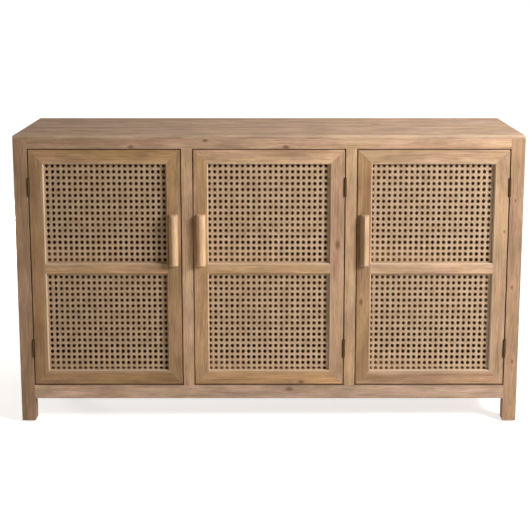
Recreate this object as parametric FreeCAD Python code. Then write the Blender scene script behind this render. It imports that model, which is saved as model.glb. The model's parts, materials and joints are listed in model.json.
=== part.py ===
"""A free-standing sideboard in light wood, with three cane doors that swing on butt hinges.

Millimetres. X runs along the front, Y from the front to the back and Z up. The origin is on the
floor, under the middle of the box that holds the whole object, pulls included.
"""

import FreeCAD
import Part
import math
import os

Vector = FreeCAD.Vector

# Overall size of the carcass
width = 1400.0
depth = 400.0
height = 820.0

# Posts, rails and dividers
post_size = 38.0
floor_gap = 70.0
top_thickness = 10.0
front_rail_depth = 22.0
top_rail_height = 27.0
bottom_rail_height = 38.0
divider_width = 30.0
back_rail_thickness = 20.0
back_top_rail_height = 38.0
side_rail_thickness = 20.0
side_top_rail_height = 38.0
side_rail_setback = 4.0
tenon_length = 15.0
tenon_thickness = 10.0
tenon_shoulder = 5.0
divider_tenon_length = 10.0
post_arris = 1.2
top_arris = 2.5

# Boards
side_panel_thickness = 14.0
side_panel_setback = 10.0
panel_groove = 6.0
back_panel_thickness = 5.0
back_panel_lap = 10.0
back_panel_lift = 8.0
floor_thickness = 16.0
floor_rebate = 6.0
partition_thickness = 16.0

# Shelves and their pins
shelf_thickness = 16.0
shelf_setback = 30.0
shelf_clearance = 1.0
shelf_pin_radius = 2.5
shelf_pin_reach = 8.0
shelf_pin_inset = 45.0
pin_hole_clearance = 0.05

# Foot glides
glide_radius = 8.5
glide_height = 4.0
glide_arris = 1.0

# Doors
door_gap = 3.0
door_bottom_gap = 4.5
door_thickness = 20.0
door_setback = 1.0
member_width = 40.0
member_arris = 0.6
sight_arris = 2.5
mid_rail_height = 30.0
mid_tenon_length = 8.0
mid_tenon_shoulder = 6.0
mid_tenon_thickness = 5.0

# Cane and the beads that hold it
cane_depth = 10.0
cane_thickness = 2.0
cane_rebate = 8.0
cane_edge_clearance = 0.5
cane_gap_pitch_x = 33.5
cane_gap_pitch_z = 34.7
cane_gap_width = 24.0
cane_gap_height = 25.0
mid_bead_height = 18.0

# Pulls
pull_width = 24.0
pull_reach = 22.0
pull_length = 145.0
pull_corner_round = 2.0
pull_end_round = 9.0
pull_above_mid = 81.5

# Butt hinges
hinge_height = 50.0
hinge_inset = 104.0
knuckle_radius = 3.2
knuckle_count = 5
knuckle_gap = 0.3
knuckle_clearance = 0.3
leaf_thickness = 1.2
leaf_width = 17.0
hinge_pin_radius = 1.5
hinge_pin_clearance = 0.05
hinge_head_radius = 2.4
hinge_head_height = 1.5

# Magnetic catches
catch_drop = 42.0
catch_height = 30.0
catch_length = 28.0
catch_pole_width = 8.0
catch_pole_thickness = 2.0
catch_pole_spacing = 10.0
catch_pole_reach = 1.0
catch_wall = 3.0
catch_gap = 0.3
strike_inset = 9.0
strike_width = 14.0
strike_height = 34.0
strike_thickness = 1.2

# Flats on the small round bars and holes, which repeat often
small_flats = 8

# Planes and lines that the pieces share
front_y = pull_reach - door_setback - (depth + pull_reach - door_setback) / 2
back_y = front_y + depth
post_front_y = front_y + post_size
post_back_y = back_y - post_size
rail_back_y = front_y + front_rail_depth
back_panel_y = back_y - back_panel_thickness
back_rail_y = back_panel_y - back_rail_thickness
side_x = width / 2
post_x = side_x - post_size
side_panel_x = side_x - side_panel_setback - side_panel_thickness
side_rail_x = side_x - side_rail_setback - side_rail_thickness
frame_top = height - top_thickness
opening_top = frame_top - top_rail_height
opening_bottom = floor_gap + bottom_rail_height
compartments = 3
opening_width = (2 * post_x - (compartments - 1) * divider_width) / compartments
divider_x = opening_width / 2 + divider_width / 2
door_width = opening_width - 2 * door_gap
door_bottom = opening_bottom + door_bottom_gap
door_top = opening_top - door_gap
door_height = door_top - door_bottom
door_mid_z = (door_bottom + door_top) / 2
door_face_y = front_y + door_setback
door_back_y = door_face_y + door_thickness
cane_y = door_face_y + cane_depth
bead_y = cane_y + cane_thickness
sight_width = door_width - 2 * member_width
sight_height = door_height - 2 * member_width
shelf_top = door_mid_z + shelf_thickness / 2
shelf_bottom = shelf_top - shelf_thickness
hinge_heights = (door_bottom + hinge_inset, door_top - hinge_inset)
strike_z = door_top - catch_drop

# Each door's name, the middle of its opening, and the side that its hinges are on
LEFT = -1
RIGHT = 1
QUARTER_TURN = 90
doors = (
    ("left_door", -opening_width - divider_width, LEFT),
    ("centre_door", 0.0, RIGHT),
    ("right_door", opening_width + divider_width, RIGHT),
)

parts = {}


def add(name, *solids):
    """Keeps a named piece: one solid, or a group of separate alike solids."""
    parts[name] = solids[0] if len(solids) == 1 else Part.makeCompound(list(solids))


def block(x_ends, y_ends, z_ends):
    """A rectangular block between two ends in X, Y and Z, in either order."""
    low = Vector(min(x_ends), min(y_ends), min(z_ends))
    high = Vector(max(x_ends), max(y_ends), max(z_ends))
    size = high - low
    return Part.makeBox(size.x, size.y, size.z, low)


def polygon(points):
    """A flat face through the points."""
    return Part.Face(Part.makePolygon([*points, points[0]]))


def flat_distance(radius):
    """How far the flats of a small bar stand from its middle."""
    return radius * math.cos(math.pi / small_flats)


def hole_radius(radius):
    """The corner radius of a small hole whose flats leave room for a round bar of that radius."""
    return radius / math.cos(math.pi / small_flats)


def small_bar(start, reach, radius):
    """A small round bar with few flats, its corners on the radius, from start along reach."""
    across = Vector(reach.y, reach.z, reach.x).normalize()
    other = Vector(reach.z, reach.x, reach.y).normalize()
    corners = []
    for index in range(small_flats):
        angle = math.pi * (2 * index + 1) / small_flats
        corners.append(start + (across * math.cos(angle) + other * math.sin(angle)) * radius)
    return polygon(corners).extrude(reach)


def small_upright(x, y, z_ends, radius):
    """A small round bar standing along Z."""
    return small_bar(Vector(x, y, z_ends[0]), Vector(0, 0, z_ends[1] - z_ends[0]), radius)


def cut_all(solid, cutters):
    """The solid with each of the cutters taken out of it."""
    for cutter in cutters:
        solid = solid.cut(cutter)
    return solid


def mirrored(solid):
    """The same piece on the other side of the middle plane."""
    return solid.mirror(Vector(0, 0, 0), Vector(1, 0, 0))


def hinge_axis(middle_x, side):
    """X of a door's hinge pins, in the middle of the gap beside the door."""
    return middle_x + side * (door_width + door_gap) / 2


def hinge_pocket(axis_x, middle_z, side):
    """What a hinge takes out of the wood on one side: the leaf's mortise and room for the knuckles."""
    half = hinge_height / 2
    room = half + hinge_head_height + knuckle_clearance
    edge_x = axis_x + side * door_gap / 2
    mortise = block(
        (edge_x, edge_x + side * leaf_thickness),
        (front_y, front_y + leaf_width),
        (middle_z - half, middle_z + half),
    )
    barrel = small_upright(
        axis_x,
        front_y,
        (middle_z - room, middle_z + room),
        hole_radius(knuckle_radius + knuckle_clearance),
    )
    return mortise.fuse(barrel)


def hinge_pockets(middle_x, hinge_side, wood_side):
    """The pockets of one door's hinges, in the wood on the given side of the pins."""
    axis_x = hinge_axis(middle_x, hinge_side)
    return [hinge_pocket(axis_x, z, wood_side) for z in hinge_heights]


def hinge_leaf(axis_x, middle_z, side, own_knuckles):
    """One leaf, let flush into the wood on its side, with every second knuckle round the pin."""
    bottom = middle_z - hinge_height / 2
    knuckle_length = (hinge_height - (knuckle_count - 1) * knuckle_gap) / knuckle_count
    edge_x = axis_x + side * door_gap / 2
    leaf = block(
        (edge_x, edge_x + side * leaf_thickness),
        (front_y, front_y + leaf_width),
        (bottom, bottom + hinge_height),
    )
    knuckles = []
    for index in range(knuckle_count):
        low = bottom + index * (knuckle_length + knuckle_gap)
        high = low + knuckle_length
        if index in own_knuckles:
            knuckles.append(small_upright(axis_x, front_y, (low, high), knuckle_radius))
        else:
            room = (low - knuckle_gap, high + knuckle_gap)
            radius = hole_radius(knuckle_radius + knuckle_clearance)
            leaf = leaf.cut(small_upright(axis_x, front_y, room, radius))
    leaf = leaf.fuse(knuckles).removeSplitter()
    bore_radius = hole_radius(hinge_pin_radius + hinge_pin_clearance)
    return leaf.cut(small_upright(axis_x, front_y, (bottom, bottom + hinge_height), bore_radius))


def hinge_pin(axis_x, middle_z):
    """A pin with a small round head on each end."""
    low = middle_z - hinge_height / 2
    high = middle_z + hinge_height / 2
    shank = small_upright(axis_x, front_y, (low, high), hinge_pin_radius)
    heads = [
        small_upright(axis_x, front_y, (low - hinge_head_height, low), hinge_head_radius),
        small_upright(axis_x, front_y, (high, high + hinge_head_height), hinge_head_radius),
    ]
    return shank.fuse(heads)


def tenoned_rail(y_ends, z_ends, half_length):
    """A rail along X with a tenon on each end."""
    rail = block((-half_length, half_length), y_ends, z_ends)
    middle_y = sum(y_ends) / 2
    reach = half_length + tenon_length
    tenon = block(
        (-reach, reach),
        (middle_y - tenon_thickness / 2, middle_y + tenon_thickness / 2),
        (z_ends[0] + tenon_shoulder, z_ends[1] - tenon_shoulder),
    )
    return rail.fuse(tenon).removeSplitter()


def side_rail(z_ends):
    """A left side rail along Y, with a tenon into each post."""
    x_ends = (-side_rail_x - side_rail_thickness, -side_rail_x)
    rail = block(x_ends, (post_front_y, post_back_y), z_ends)
    middle_x = sum(x_ends) / 2
    tenon = block(
        (middle_x - tenon_thickness / 2, middle_x + tenon_thickness / 2),
        (post_front_y - tenon_length, post_back_y + tenon_length),
        (z_ends[0] + tenon_shoulder, z_ends[1] - tenon_shoulder),
    )
    return rail.fuse(tenon).removeSplitter()


def divider(middle_x):
    """An upright between two doors, with a tenon into each front rail."""
    upright_bar = block(
        (middle_x - divider_width / 2, middle_x + divider_width / 2),
        (front_y, rail_back_y),
        (opening_bottom, opening_top),
    )
    middle_y = (front_y + rail_back_y) / 2
    half_tenon = divider_width / 2 - tenon_shoulder
    tenon = block(
        (middle_x - half_tenon, middle_x + half_tenon),
        (middle_y - tenon_thickness / 2, middle_y + tenon_thickness / 2),
        (opening_bottom - divider_tenon_length, opening_top + divider_tenon_length),
    )
    return upright_bar.fuse(tenon).removeSplitter()


def post_blank(front):
    """A left post as sawn, with its outer corner eased."""
    y_ends = (front_y, post_front_y) if front else (post_back_y, back_y)
    blank = block((-side_x, -post_x), y_ends, (glide_height, frame_top))
    corner_y = front_y if front else back_y
    corner = [
        edge
        for edge in blank.Edges
        if all(
            abs(end.X + side_x) + abs(end.Y - corner_y) < post_arris
            for end in edge.Vertexes
        )
    ]
    return blank.makeChamfer(post_arris, corner)


def glide(x, y):
    """A round foot glide on the end of a leg."""
    disc = Part.makeCylinder(glide_radius, glide_height, Vector(x, y, 0))
    rim = [edge for edge in disc.Edges if edge.BoundBox.ZMax < glide_height / 2]
    return disc.makeChamfer(glide_arris, rim)


def build_boards():
    """The panels, the floor, the partitions and the top, which the frame is grooved for."""
    add(
        "left_side_panel",
        block(
            (-side_panel_x - side_panel_thickness, -side_panel_x),
            (post_front_y - panel_groove, post_back_y + panel_groove),
            (opening_bottom - panel_groove, frame_top - side_top_rail_height + panel_groove),
        ),
    )
    add("right_side_panel", mirrored(parts["left_side_panel"]))
    add(
        "back_panel",
        block(
            (-post_x - back_panel_lap, post_x + back_panel_lap),
            (back_panel_y, back_y),
            (floor_gap + back_panel_lift, frame_top),
        ),
    )
    floor = block(
        (-side_panel_x, side_panel_x),
        (rail_back_y - floor_rebate, back_rail_y + floor_rebate),
        (opening_bottom - floor_thickness, opening_bottom),
    )
    left_posts = [post_blank(True), post_blank(False)]
    add("floor_panel", cut_all(floor, left_posts + [mirrored(post) for post in left_posts]))
    partition = block(
        (-divider_x - partition_thickness / 2, -divider_x + partition_thickness / 2),
        (rail_back_y, back_panel_y),
        (opening_bottom, frame_top),
    )
    back_notch = block(
        (-side_x, side_x),
        (back_rail_y, back_panel_y),
        (frame_top - back_top_rail_height, frame_top),
    )
    add("left_partition", partition.cut(back_notch))
    add("right_partition", mirrored(parts["left_partition"]))
    top = block((-side_x, side_x), (front_y, back_y), (frame_top, height))
    eased = [edge for edge in top.Edges if edge.BoundBox.ZMax > height - top_thickness / 2]
    add("top_panel", top.makeChamfer(top_arris, eased))


def build_frame():
    """Rails, dividers and posts, cut for each other, for the boards and for the hinges."""
    bottom_ends = (floor_gap, opening_bottom)
    floor = parts["floor_panel"]
    dividers = {LEFT: divider(-divider_x), RIGHT: divider(divider_x)}
    front_top = tenoned_rail((front_y, rail_back_y), (opening_top, frame_top), post_x)
    front_bottom = tenoned_rail((front_y, rail_back_y), bottom_ends, post_x)
    add("front_top_rail", cut_all(front_top, dividers.values()))
    add("front_bottom_rail", cut_all(front_bottom, [*dividers.values(), floor]))
    back_ends = (back_rail_y, back_panel_y)
    back_top_ends = (frame_top - back_top_rail_height, frame_top)
    add("back_top_rail", tenoned_rail(back_ends, back_top_ends, post_x))
    add("back_bottom_rail", tenoned_rail(back_ends, bottom_ends, post_x).cut(floor))
    add("left_divider", dividers[LEFT])
    centre_pockets = hinge_pockets(0.0, RIGHT, RIGHT)
    add("right_divider", cut_all(dividers[RIGHT], centre_pockets))

    panel = parts["left_side_panel"]
    side_top_ends = (frame_top - side_top_rail_height, frame_top)
    add("left_top_side_rail", side_rail(side_top_ends).cut(panel))
    add("left_bottom_side_rail", side_rail(bottom_ends).cut(panel))
    shared = [panel, parts["left_top_side_rail"], parts["left_bottom_side_rail"]]
    front_joints = shared + [parts["front_top_rail"], parts["front_bottom_rail"]]
    back_joints = shared + [
        parts["back_panel"],
        parts["back_top_rail"],
        parts["back_bottom_rail"],
    ]
    left_pockets = hinge_pockets(doors[0][1], LEFT, LEFT)
    add("front_left_post", cut_all(post_blank(True), front_joints + left_pockets))
    add("back_left_post", cut_all(post_blank(False), back_joints))
    for name in ("left_top_side_rail", "left_bottom_side_rail", "front_left_post", "back_left_post"):
        add(name.replace("left", "right"), mirrored(parts[name]))


def build_glides():
    """A glide under the middle of each leg."""
    middle_x = side_x - post_size / 2
    glides = []
    for y in (front_y + post_size / 2, back_y - post_size / 2):
        glides += [glide(-middle_x, y), glide(middle_x, y)]
    add("foot_glides", *glides)


def build_shelves():
    """A shelf in each compartment, on four pins set into the boards beside it."""
    partition_face = divider_x - partition_thickness / 2
    partition_outer_face = divider_x + partition_thickness / 2
    y_ends = (front_y + shelf_setback, back_panel_y - shelf_clearance)
    z_ends = (shelf_bottom, shelf_top)
    post_room = post_x - shelf_clearance
    notches = [
        block((-side_x, -post_room), (front_y, post_front_y + shelf_clearance), z_ends),
        block((-side_x, -post_room), (post_back_y - shelf_clearance, back_y), z_ends),
    ]
    outer = block(
        (-side_panel_x + shelf_clearance, -partition_outer_face - shelf_clearance),
        y_ends,
        z_ends,
    )
    add("left_shelf", cut_all(outer, notches))
    add("right_shelf", mirrored(parts["left_shelf"]))
    half_width = partition_face - shelf_clearance
    add("centre_shelf", block((-half_width, half_width), y_ends, z_ends))

    pins = []
    pin_z = shelf_bottom - flat_distance(shelf_pin_radius)
    pin_hole_radius = hole_radius(shelf_pin_radius + pin_hole_clearance)
    boards = (
        ("left_side_panel", -side_panel_x, RIGHT),
        ("left_partition", -partition_outer_face, LEFT),
        ("left_partition", -partition_face, RIGHT),
    )
    for y in (y_ends[0] + shelf_pin_inset, y_ends[1] - shelf_pin_inset):
        for board, face_x, out in boards:
            depth_in_board = partition_thickness / 2 if board == "left_partition" else shelf_pin_reach
            start = Vector(face_x - out * depth_in_board, y, pin_z)
            reach = Vector(out * (depth_in_board + shelf_pin_reach), 0, 0)
            pin = small_bar(start, reach, shelf_pin_radius)
            pins += [pin, mirrored(pin)]
            add(board, parts[board].cut(small_bar(start, reach, pin_hole_radius)))
            add(board.replace("left", "right"), mirrored(parts[board]))
    add("shelf_pins", *pins)


def catch(face_x, side, door_edge_x):
    """A magnetic catch on a partition, with two steel poles that face the door's strike plate."""
    middle_x = door_edge_x + side * strike_inset
    outer_x = middle_x + side * (catch_pole_width / 2 + catch_wall)
    pole_y = door_back_y + strike_thickness + catch_gap
    body_y = pole_y + catch_pole_reach
    body = block(
        (face_x, outer_x),
        (body_y, body_y + catch_length),
        (strike_z - catch_height / 2, strike_z + catch_height / 2),
    )
    poles = []
    for z in (strike_z - catch_pole_spacing / 2, strike_z + catch_pole_spacing / 2):
        pole = block(
            (middle_x - catch_pole_width / 2, middle_x + catch_pole_width / 2),
            (pole_y, body_y),
            (z - catch_pole_thickness / 2, z + catch_pole_thickness / 2),
        )
        poles.append(pole)
    return body.fuse(poles)


def mitred_member(length):
    """A door member along X: its section has a cane rebate at the back, and its ends are mitred.

    The outer edge lies on the X axis, the width runs up Z and the thickness back along Y.
    """
    rebate_edge = member_width - cane_rebate
    outline = (
        (0.0, member_arris),
        (0.0, member_width - sight_arris),
        (sight_arris, member_width),
        (cane_depth, member_width),
        (cane_depth, rebate_edge),
        (door_thickness, rebate_edge),
        (door_thickness, member_arris),
        (door_thickness - member_arris, 0.0),
        (member_arris, 0.0),
    )
    section = polygon([Vector(0, y, z) for y, z in outline])
    plan = polygon(
        [
            Vector(0, 0, 0),
            Vector(length, 0, 0),
            Vector(length - member_width, 0, member_width),
            Vector(member_width, 0, member_width),
        ]
    )
    bar = section.extrude(Vector(length, 0, 0))
    return bar.common(plan.extrude(Vector(0, door_thickness, 0)))


def door_members(middle_x):
    """The four mitred members of a door, by the edge that each one lies along."""
    left_x = middle_x - door_width / 2
    right_x = middle_x + door_width / 2
    corners = {
        "bottom": (door_width, left_x, door_bottom),
        RIGHT: (door_height, right_x, door_bottom),
        "top": (door_width, right_x, door_top),
        LEFT: (door_height, left_x, door_top),
    }
    members = {}
    for quarter, (edge, (length, x, z)) in enumerate(corners.items()):
        member = mitred_member(length)
        member.rotate(Vector(0, 0, 0), Vector(0, 1, 0), -QUARTER_TURN * quarter)
        member.translate(Vector(x, door_face_y, z))
        members[edge] = member
    return members


def mid_rail(middle_x):
    """The rail across the middle of a door, in front of the cane, with a stub tenon on each end.

    It is let into the stiles as deep as their chamfers, so that the chamfers meet in mitres.
    """
    half = mid_rail_height / 2
    half_length = sight_width / 2 + sight_arris
    outline = (
        (0.0, sight_arris - half),
        (0.0, half - sight_arris),
        (sight_arris, half),
        (cane_depth, half),
        (cane_depth, -half),
        (sight_arris, -half),
    )
    left_x = middle_x - half_length
    section = polygon(
        [Vector(left_x, door_face_y + y, door_mid_z + z) for y, z in outline]
    )
    rail = section.extrude(Vector(2 * half_length, 0, 0))
    reach = sight_width / 2 + mid_tenon_length
    tenon_y = door_face_y + (cane_depth - mid_tenon_thickness) / 2
    tenon = block(
        (middle_x - reach, middle_x + reach),
        (tenon_y, tenon_y + mid_tenon_thickness),
        (door_mid_z - half + mid_tenon_shoulder, door_mid_z + half - mid_tenon_shoulder),
    )
    return rail.fuse(tenon).removeSplitter()


def cane_sheet(middle_x):
    """The woven sheet as one pierced face with thickness: a gap stands for a few of the weave's."""
    half_x = sight_width / 2 + cane_rebate - cane_edge_clearance
    half_z = sight_height / 2 + cane_rebate - cane_edge_clearance
    columns = round(sight_width / cane_gap_pitch_x)
    rows = round(sight_height / cane_gap_pitch_z)

    def loop(offsets, x, z):
        corners = [Vector(x + dx, cane_y, z + dz) for dx, dz in offsets]
        return Part.makePolygon([*corners, corners[0]])

    edge = ((-half_x, -half_z), (half_x, -half_z), (half_x, half_z), (-half_x, half_z))
    diamond = (
        (0.0, -cane_gap_height / 2),
        (cane_gap_width / 2, 0.0),
        (0.0, cane_gap_height / 2),
        (-cane_gap_width / 2, 0.0),
    )
    loops = [loop(edge, middle_x, door_mid_z)]
    for column in range(columns):
        x = middle_x + (column - (columns - 1) / 2) * cane_gap_pitch_x
        for row in range(rows):
            z = door_mid_z + (row - (rows - 1) / 2) * cane_gap_pitch_z
            loops.append(loop(diamond, x, z))
    face = Part.makeFace(Part.makeCompound(loops), "Part::FaceMakerCheese")
    return face.extrude(Vector(0, cane_thickness, 0))


def cane_beads(middle_x):
    """The strips behind the cane: one along each edge of the rebate and one behind the middle rail."""
    y_ends = (bead_y, door_back_y)
    half_x = sight_width / 2
    half_z = sight_height / 2
    rebate_x = half_x + cane_rebate
    rebate_z = half_z + cane_rebate
    beads = []
    for side in (LEFT, RIGHT):
        level_ends = (door_mid_z + side * half_z, door_mid_z + side * rebate_z)
        upright_ends = (middle_x + side * half_x, middle_x + side * rebate_x)
        beads.append(block((middle_x - rebate_x, middle_x + rebate_x), y_ends, level_ends))
        beads.append(block(upright_ends, y_ends, (door_mid_z - half_z, door_mid_z + half_z)))
    half_bead = mid_bead_height / 2
    mid_ends = (door_mid_z - half_bead, door_mid_z + half_bead)
    beads.append(block((middle_x - half_x, middle_x + half_x), y_ends, mid_ends))
    return beads


def pull(x):
    """A wooden bar pull: straight sides and a half-round front, its ends rounded towards the front."""
    half = pull_width / 2
    middle_z = door_mid_z + pull_above_mid
    z_ends = (middle_z - pull_length / 2, middle_z + pull_length / 2)
    x_ends = (x - half, x + half)
    nose_y = door_face_y - pull_reach
    side_y = nose_y + half
    left, right = [Vector(end_x, side_y, z_ends[0]) for end_x in x_ends]
    back_left, back_right = [Vector(end_x, door_face_y, z_ends[0]) for end_x in x_ends]
    nose = Part.Arc(left, Vector(x, nose_y, z_ends[0]), right).toShape()
    sides = Part.makePolygon([right, back_right, back_left, left]).Edges
    bar = Part.Face(Part.Wire([nose, *sides])).extrude(Vector(0, 0, pull_length))
    envelope = block(x_ends, (nose_y, door_face_y), z_ends)
    front_corners = [edge for edge in envelope.Edges if edge.BoundBox.YLength > pull_reach / 2]
    nose_ends = [
        edge
        for edge in envelope.Edges
        if edge.BoundBox.YMax < side_y and edge.BoundBox.XLength > half
    ]
    for ends, radius in ((front_corners, pull_corner_round), (nose_ends, pull_end_round)):
        bar = bar.common(envelope.makeFillet(radius, ends))
    return bar


def strike_plate(door_edge_x, side):
    """The steel plate on the back of a door that the catch holds."""
    middle_x = door_edge_x + side * strike_inset
    return block(
        (middle_x - strike_width / 2, middle_x + strike_width / 2),
        (door_back_y, door_back_y + strike_thickness),
        (strike_z - strike_height / 2, strike_z + strike_height / 2),
    )


def build_door(name, middle_x, hinge_side):
    """One door with its cane, pull, hinge leaves and strike plate."""
    free_side = -hinge_side
    members = door_members(middle_x)
    middle_rail = mid_rail(middle_x)
    pockets = hinge_pockets(middle_x, hinge_side, free_side)
    free_edge_x = middle_x + free_side * door_width / 2
    axis_x = hinge_axis(middle_x, hinge_side)
    door_knuckles = range(1, knuckle_count, 2)
    add(name + "_hinge_stile", cut_all(members[hinge_side], [middle_rail, *pockets]))
    add(name + "_pull_stile", members[free_side].cut(middle_rail))
    add(name + "_top_rail", members["top"])
    add(name + "_bottom_rail", members["bottom"])
    add(name + "_mid_rail", middle_rail)
    add(name + "_cane_sheet", cane_sheet(middle_x))
    add(name + "_cane_beads", *cane_beads(middle_x))
    add(name + "_pull", pull(free_edge_x - free_side * member_width / 2))
    leaves = [hinge_leaf(axis_x, z, free_side, door_knuckles) for z in hinge_heights]
    add(name + "_hinge_leaves", *leaves)
    add(name + "_strike_plate", strike_plate(free_edge_x, hinge_side))


def build_fittings():
    """The hinge leaves and pins that stay with the frame, and the catches on the partitions."""
    frame_knuckles = range(0, knuckle_count, 2)
    leaves = []
    pins = []
    catches = []
    for _, middle_x, hinge_side in doors:
        axis_x = hinge_axis(middle_x, hinge_side)
        free_side = -hinge_side
        for z in hinge_heights:
            leaves.append(hinge_leaf(axis_x, z, hinge_side, frame_knuckles))
            pins.append(hinge_pin(axis_x, z))
        free_edge_x = middle_x + free_side * door_width / 2
        beside_x = middle_x + free_side * (opening_width + divider_width) / 2
        face_x = beside_x + hinge_side * partition_thickness / 2
        catches.append(catch(face_x, hinge_side, free_edge_x))
    add("frame_hinge_leaves", *leaves)
    add("hinge_pins", *pins)
    add("door_catches", *catches)


build_boards()
build_frame()
build_glides()
build_shelves()
build_fittings()
for door in doors:
    build_door(*door)

os.makedirs("parts", exist_ok=True)
for part_name, shape in parts.items():
    shape.exportStep(os.path.join("parts", part_name + ".step"))
print(len(parts), "pieces written")
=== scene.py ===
# %% [markdown]
# # Dressing a sideboard with cane doors
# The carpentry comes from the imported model: posts, rails, doors, hinges and shelves at their real
# size. This lesson sets up a camera and a soft light, and then gives the pieces their looks: eased
# and grained timber, doors of woven cane, turned hinges, screws and glides. Every piece stays where
# the carpentry put it, and rides on the body that carries it.

# %% Load the carpentry
import json
import math

import bpy
from mathutils import Euler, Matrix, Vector

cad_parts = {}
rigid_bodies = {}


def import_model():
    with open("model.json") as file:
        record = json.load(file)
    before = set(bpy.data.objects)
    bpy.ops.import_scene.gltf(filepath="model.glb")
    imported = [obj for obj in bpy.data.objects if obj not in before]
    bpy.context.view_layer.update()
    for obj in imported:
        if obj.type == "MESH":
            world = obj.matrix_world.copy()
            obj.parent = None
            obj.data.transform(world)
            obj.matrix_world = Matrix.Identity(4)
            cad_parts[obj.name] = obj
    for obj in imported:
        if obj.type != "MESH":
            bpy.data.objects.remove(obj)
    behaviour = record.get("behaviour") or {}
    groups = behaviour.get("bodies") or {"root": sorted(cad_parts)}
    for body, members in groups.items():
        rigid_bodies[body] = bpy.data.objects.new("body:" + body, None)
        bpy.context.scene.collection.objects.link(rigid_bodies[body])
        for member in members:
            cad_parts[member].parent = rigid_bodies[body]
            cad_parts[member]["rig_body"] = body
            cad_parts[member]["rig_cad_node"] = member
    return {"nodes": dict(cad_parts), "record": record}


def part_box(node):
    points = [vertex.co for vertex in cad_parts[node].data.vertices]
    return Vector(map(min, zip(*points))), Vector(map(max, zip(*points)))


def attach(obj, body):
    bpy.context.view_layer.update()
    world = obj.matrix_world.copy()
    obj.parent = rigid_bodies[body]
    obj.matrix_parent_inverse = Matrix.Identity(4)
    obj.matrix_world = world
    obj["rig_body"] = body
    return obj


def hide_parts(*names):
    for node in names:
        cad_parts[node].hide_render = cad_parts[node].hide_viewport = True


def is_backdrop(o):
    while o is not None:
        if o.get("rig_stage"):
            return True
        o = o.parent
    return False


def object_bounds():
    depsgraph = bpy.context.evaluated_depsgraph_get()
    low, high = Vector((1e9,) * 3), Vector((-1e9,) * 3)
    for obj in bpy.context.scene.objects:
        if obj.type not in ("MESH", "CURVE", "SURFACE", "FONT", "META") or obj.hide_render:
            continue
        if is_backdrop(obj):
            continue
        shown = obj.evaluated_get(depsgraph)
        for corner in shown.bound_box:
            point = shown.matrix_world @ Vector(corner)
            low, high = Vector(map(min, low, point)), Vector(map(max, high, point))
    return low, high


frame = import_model()
nodes = frame["nodes"]
cad_low, cad_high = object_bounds()
MM = 0.001
DOORS = ("left_door", "centre_door", "right_door")
print(len(nodes), "nodes, from", tuple(cad_low), "to", tuple(cad_high))

# %% [markdown]
# ## The bench: a few habits made into functions
# An operator acts on everything that is selected, so each step begins by choosing one object, and
# inside it the faces or edges that the next operator should meet. Choosing by place and direction,
# in code, is what clicking is in the window.


# %% Choosing
def take(*pieces):
    """Selects only these pieces, with the first one active."""
    bpy.ops.object.select_all(action="DESELECT")
    for piece in pieces:
        piece.select_set(True)
    bpy.context.view_layer.objects.active = pieces[0]


def choose(piece, kind, test):
    """Opens a piece for editing with only those faces or edges selected that pass a test."""
    take(piece)
    mesh = piece.data
    for elements in (mesh.vertices, mesh.edges, mesh.polygons):
        elements.foreach_set("select", [False] * len(elements))
    if kind == "FACE":
        for face in mesh.polygons:
            face.select = test(face.center, face.normal)
    else:
        for edge in mesh.edges:
            ends = [mesh.vertices[index].co for index in edge.vertices]
            edge.select = test((ends[0] + ends[1]) / 2, ends[1] - ends[0])
    bpy.ops.object.mode_set(mode="EDIT")
    bpy.ops.mesh.select_mode(type=kind)


def edit_all(piece):
    """Opens a piece for editing with everything in it selected."""
    take(piece)
    bpy.ops.object.mode_set(mode="EDIT")
    bpy.ops.mesh.select_mode(type="VERT")
    bpy.ops.mesh.select_all(action="SELECT")


def close_edit():
    """Goes back from editing to whole objects."""
    bpy.ops.object.mode_set(mode="OBJECT")


def close_outwards():
    """Turns every face of the edited piece outwards, and goes back to whole objects."""
    bpy.ops.mesh.select_all(action="SELECT")
    bpy.ops.mesh.normals_make_consistent(inside=False)
    close_edit()


print("choosing ready")

# %% Beginning and finishing a piece
ORIGIN = (0.0, 0.0, 0.0)
UNSCALED = (1.0, 1.0, 1.0)


def apply_place(piece):
    """Puts a piece's place, turn and size into its mesh, so that its object sits at the origin."""
    take(piece)
    bpy.ops.object.transform_apply(location=True, rotation=True, scale=True)


def begin(name, primitive, location=ORIGIN, scale=UNSCALED, **settings):
    """Begins a piece as a primitive, with its place and size put into its mesh."""
    bpy.ops.object.select_all(action="DESELECT")
    primitive(location=location, **settings)
    piece = bpy.context.object
    piece.name = name
    piece.scale = scale
    apply_place(piece)
    return piece


def block(name, low, high):
    """A block between two corners, as a start for a piece."""
    low, high = Vector(low), Vector(high)
    return begin(name, bpy.ops.mesh.primitive_cube_add, (low + high) / 2, high - low, size=1.0)


def finish_with(piece, kind, **settings):
    """Adds a modifier with its settings and applies it."""
    take(piece)
    modifier = piece.modifiers.new(kind.title(), kind)
    for setting, value in settings.items():
        setattr(modifier, setting, value)
    bpy.ops.object.modifier_apply(modifier=modifier.name)


def join(name, pieces):
    """Joins pieces into one object."""
    take(*pieces)
    bpy.ops.object.join()
    pieces[0].name = name
    return pieces[0]


def discard(*patterns):
    """Takes pattern pieces off the bench once their work is done."""
    take(*patterns)
    bpy.ops.object.delete()


def smooth(piece, angle=35):
    """Smooth shading that stays crisp at edges sharper than the angle."""
    take(piece)
    bpy.ops.object.shade_smooth_by_angle(angle=math.radians(angle))


def smooth_edges_only(piece):
    """Smooth shading that lets the small faces of an eased edge bend, and keeps broad faces flat."""
    smooth(piece)
    finish_with(piece, "WEIGHTED_NORMAL", keep_sharp=True)


def dress(piece, *materials):
    """Gives a piece its materials in place of those that it had."""
    piece.data.materials.clear()
    for material in materials:
        piece.data.materials.append(material)


print("bench ready")

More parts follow.
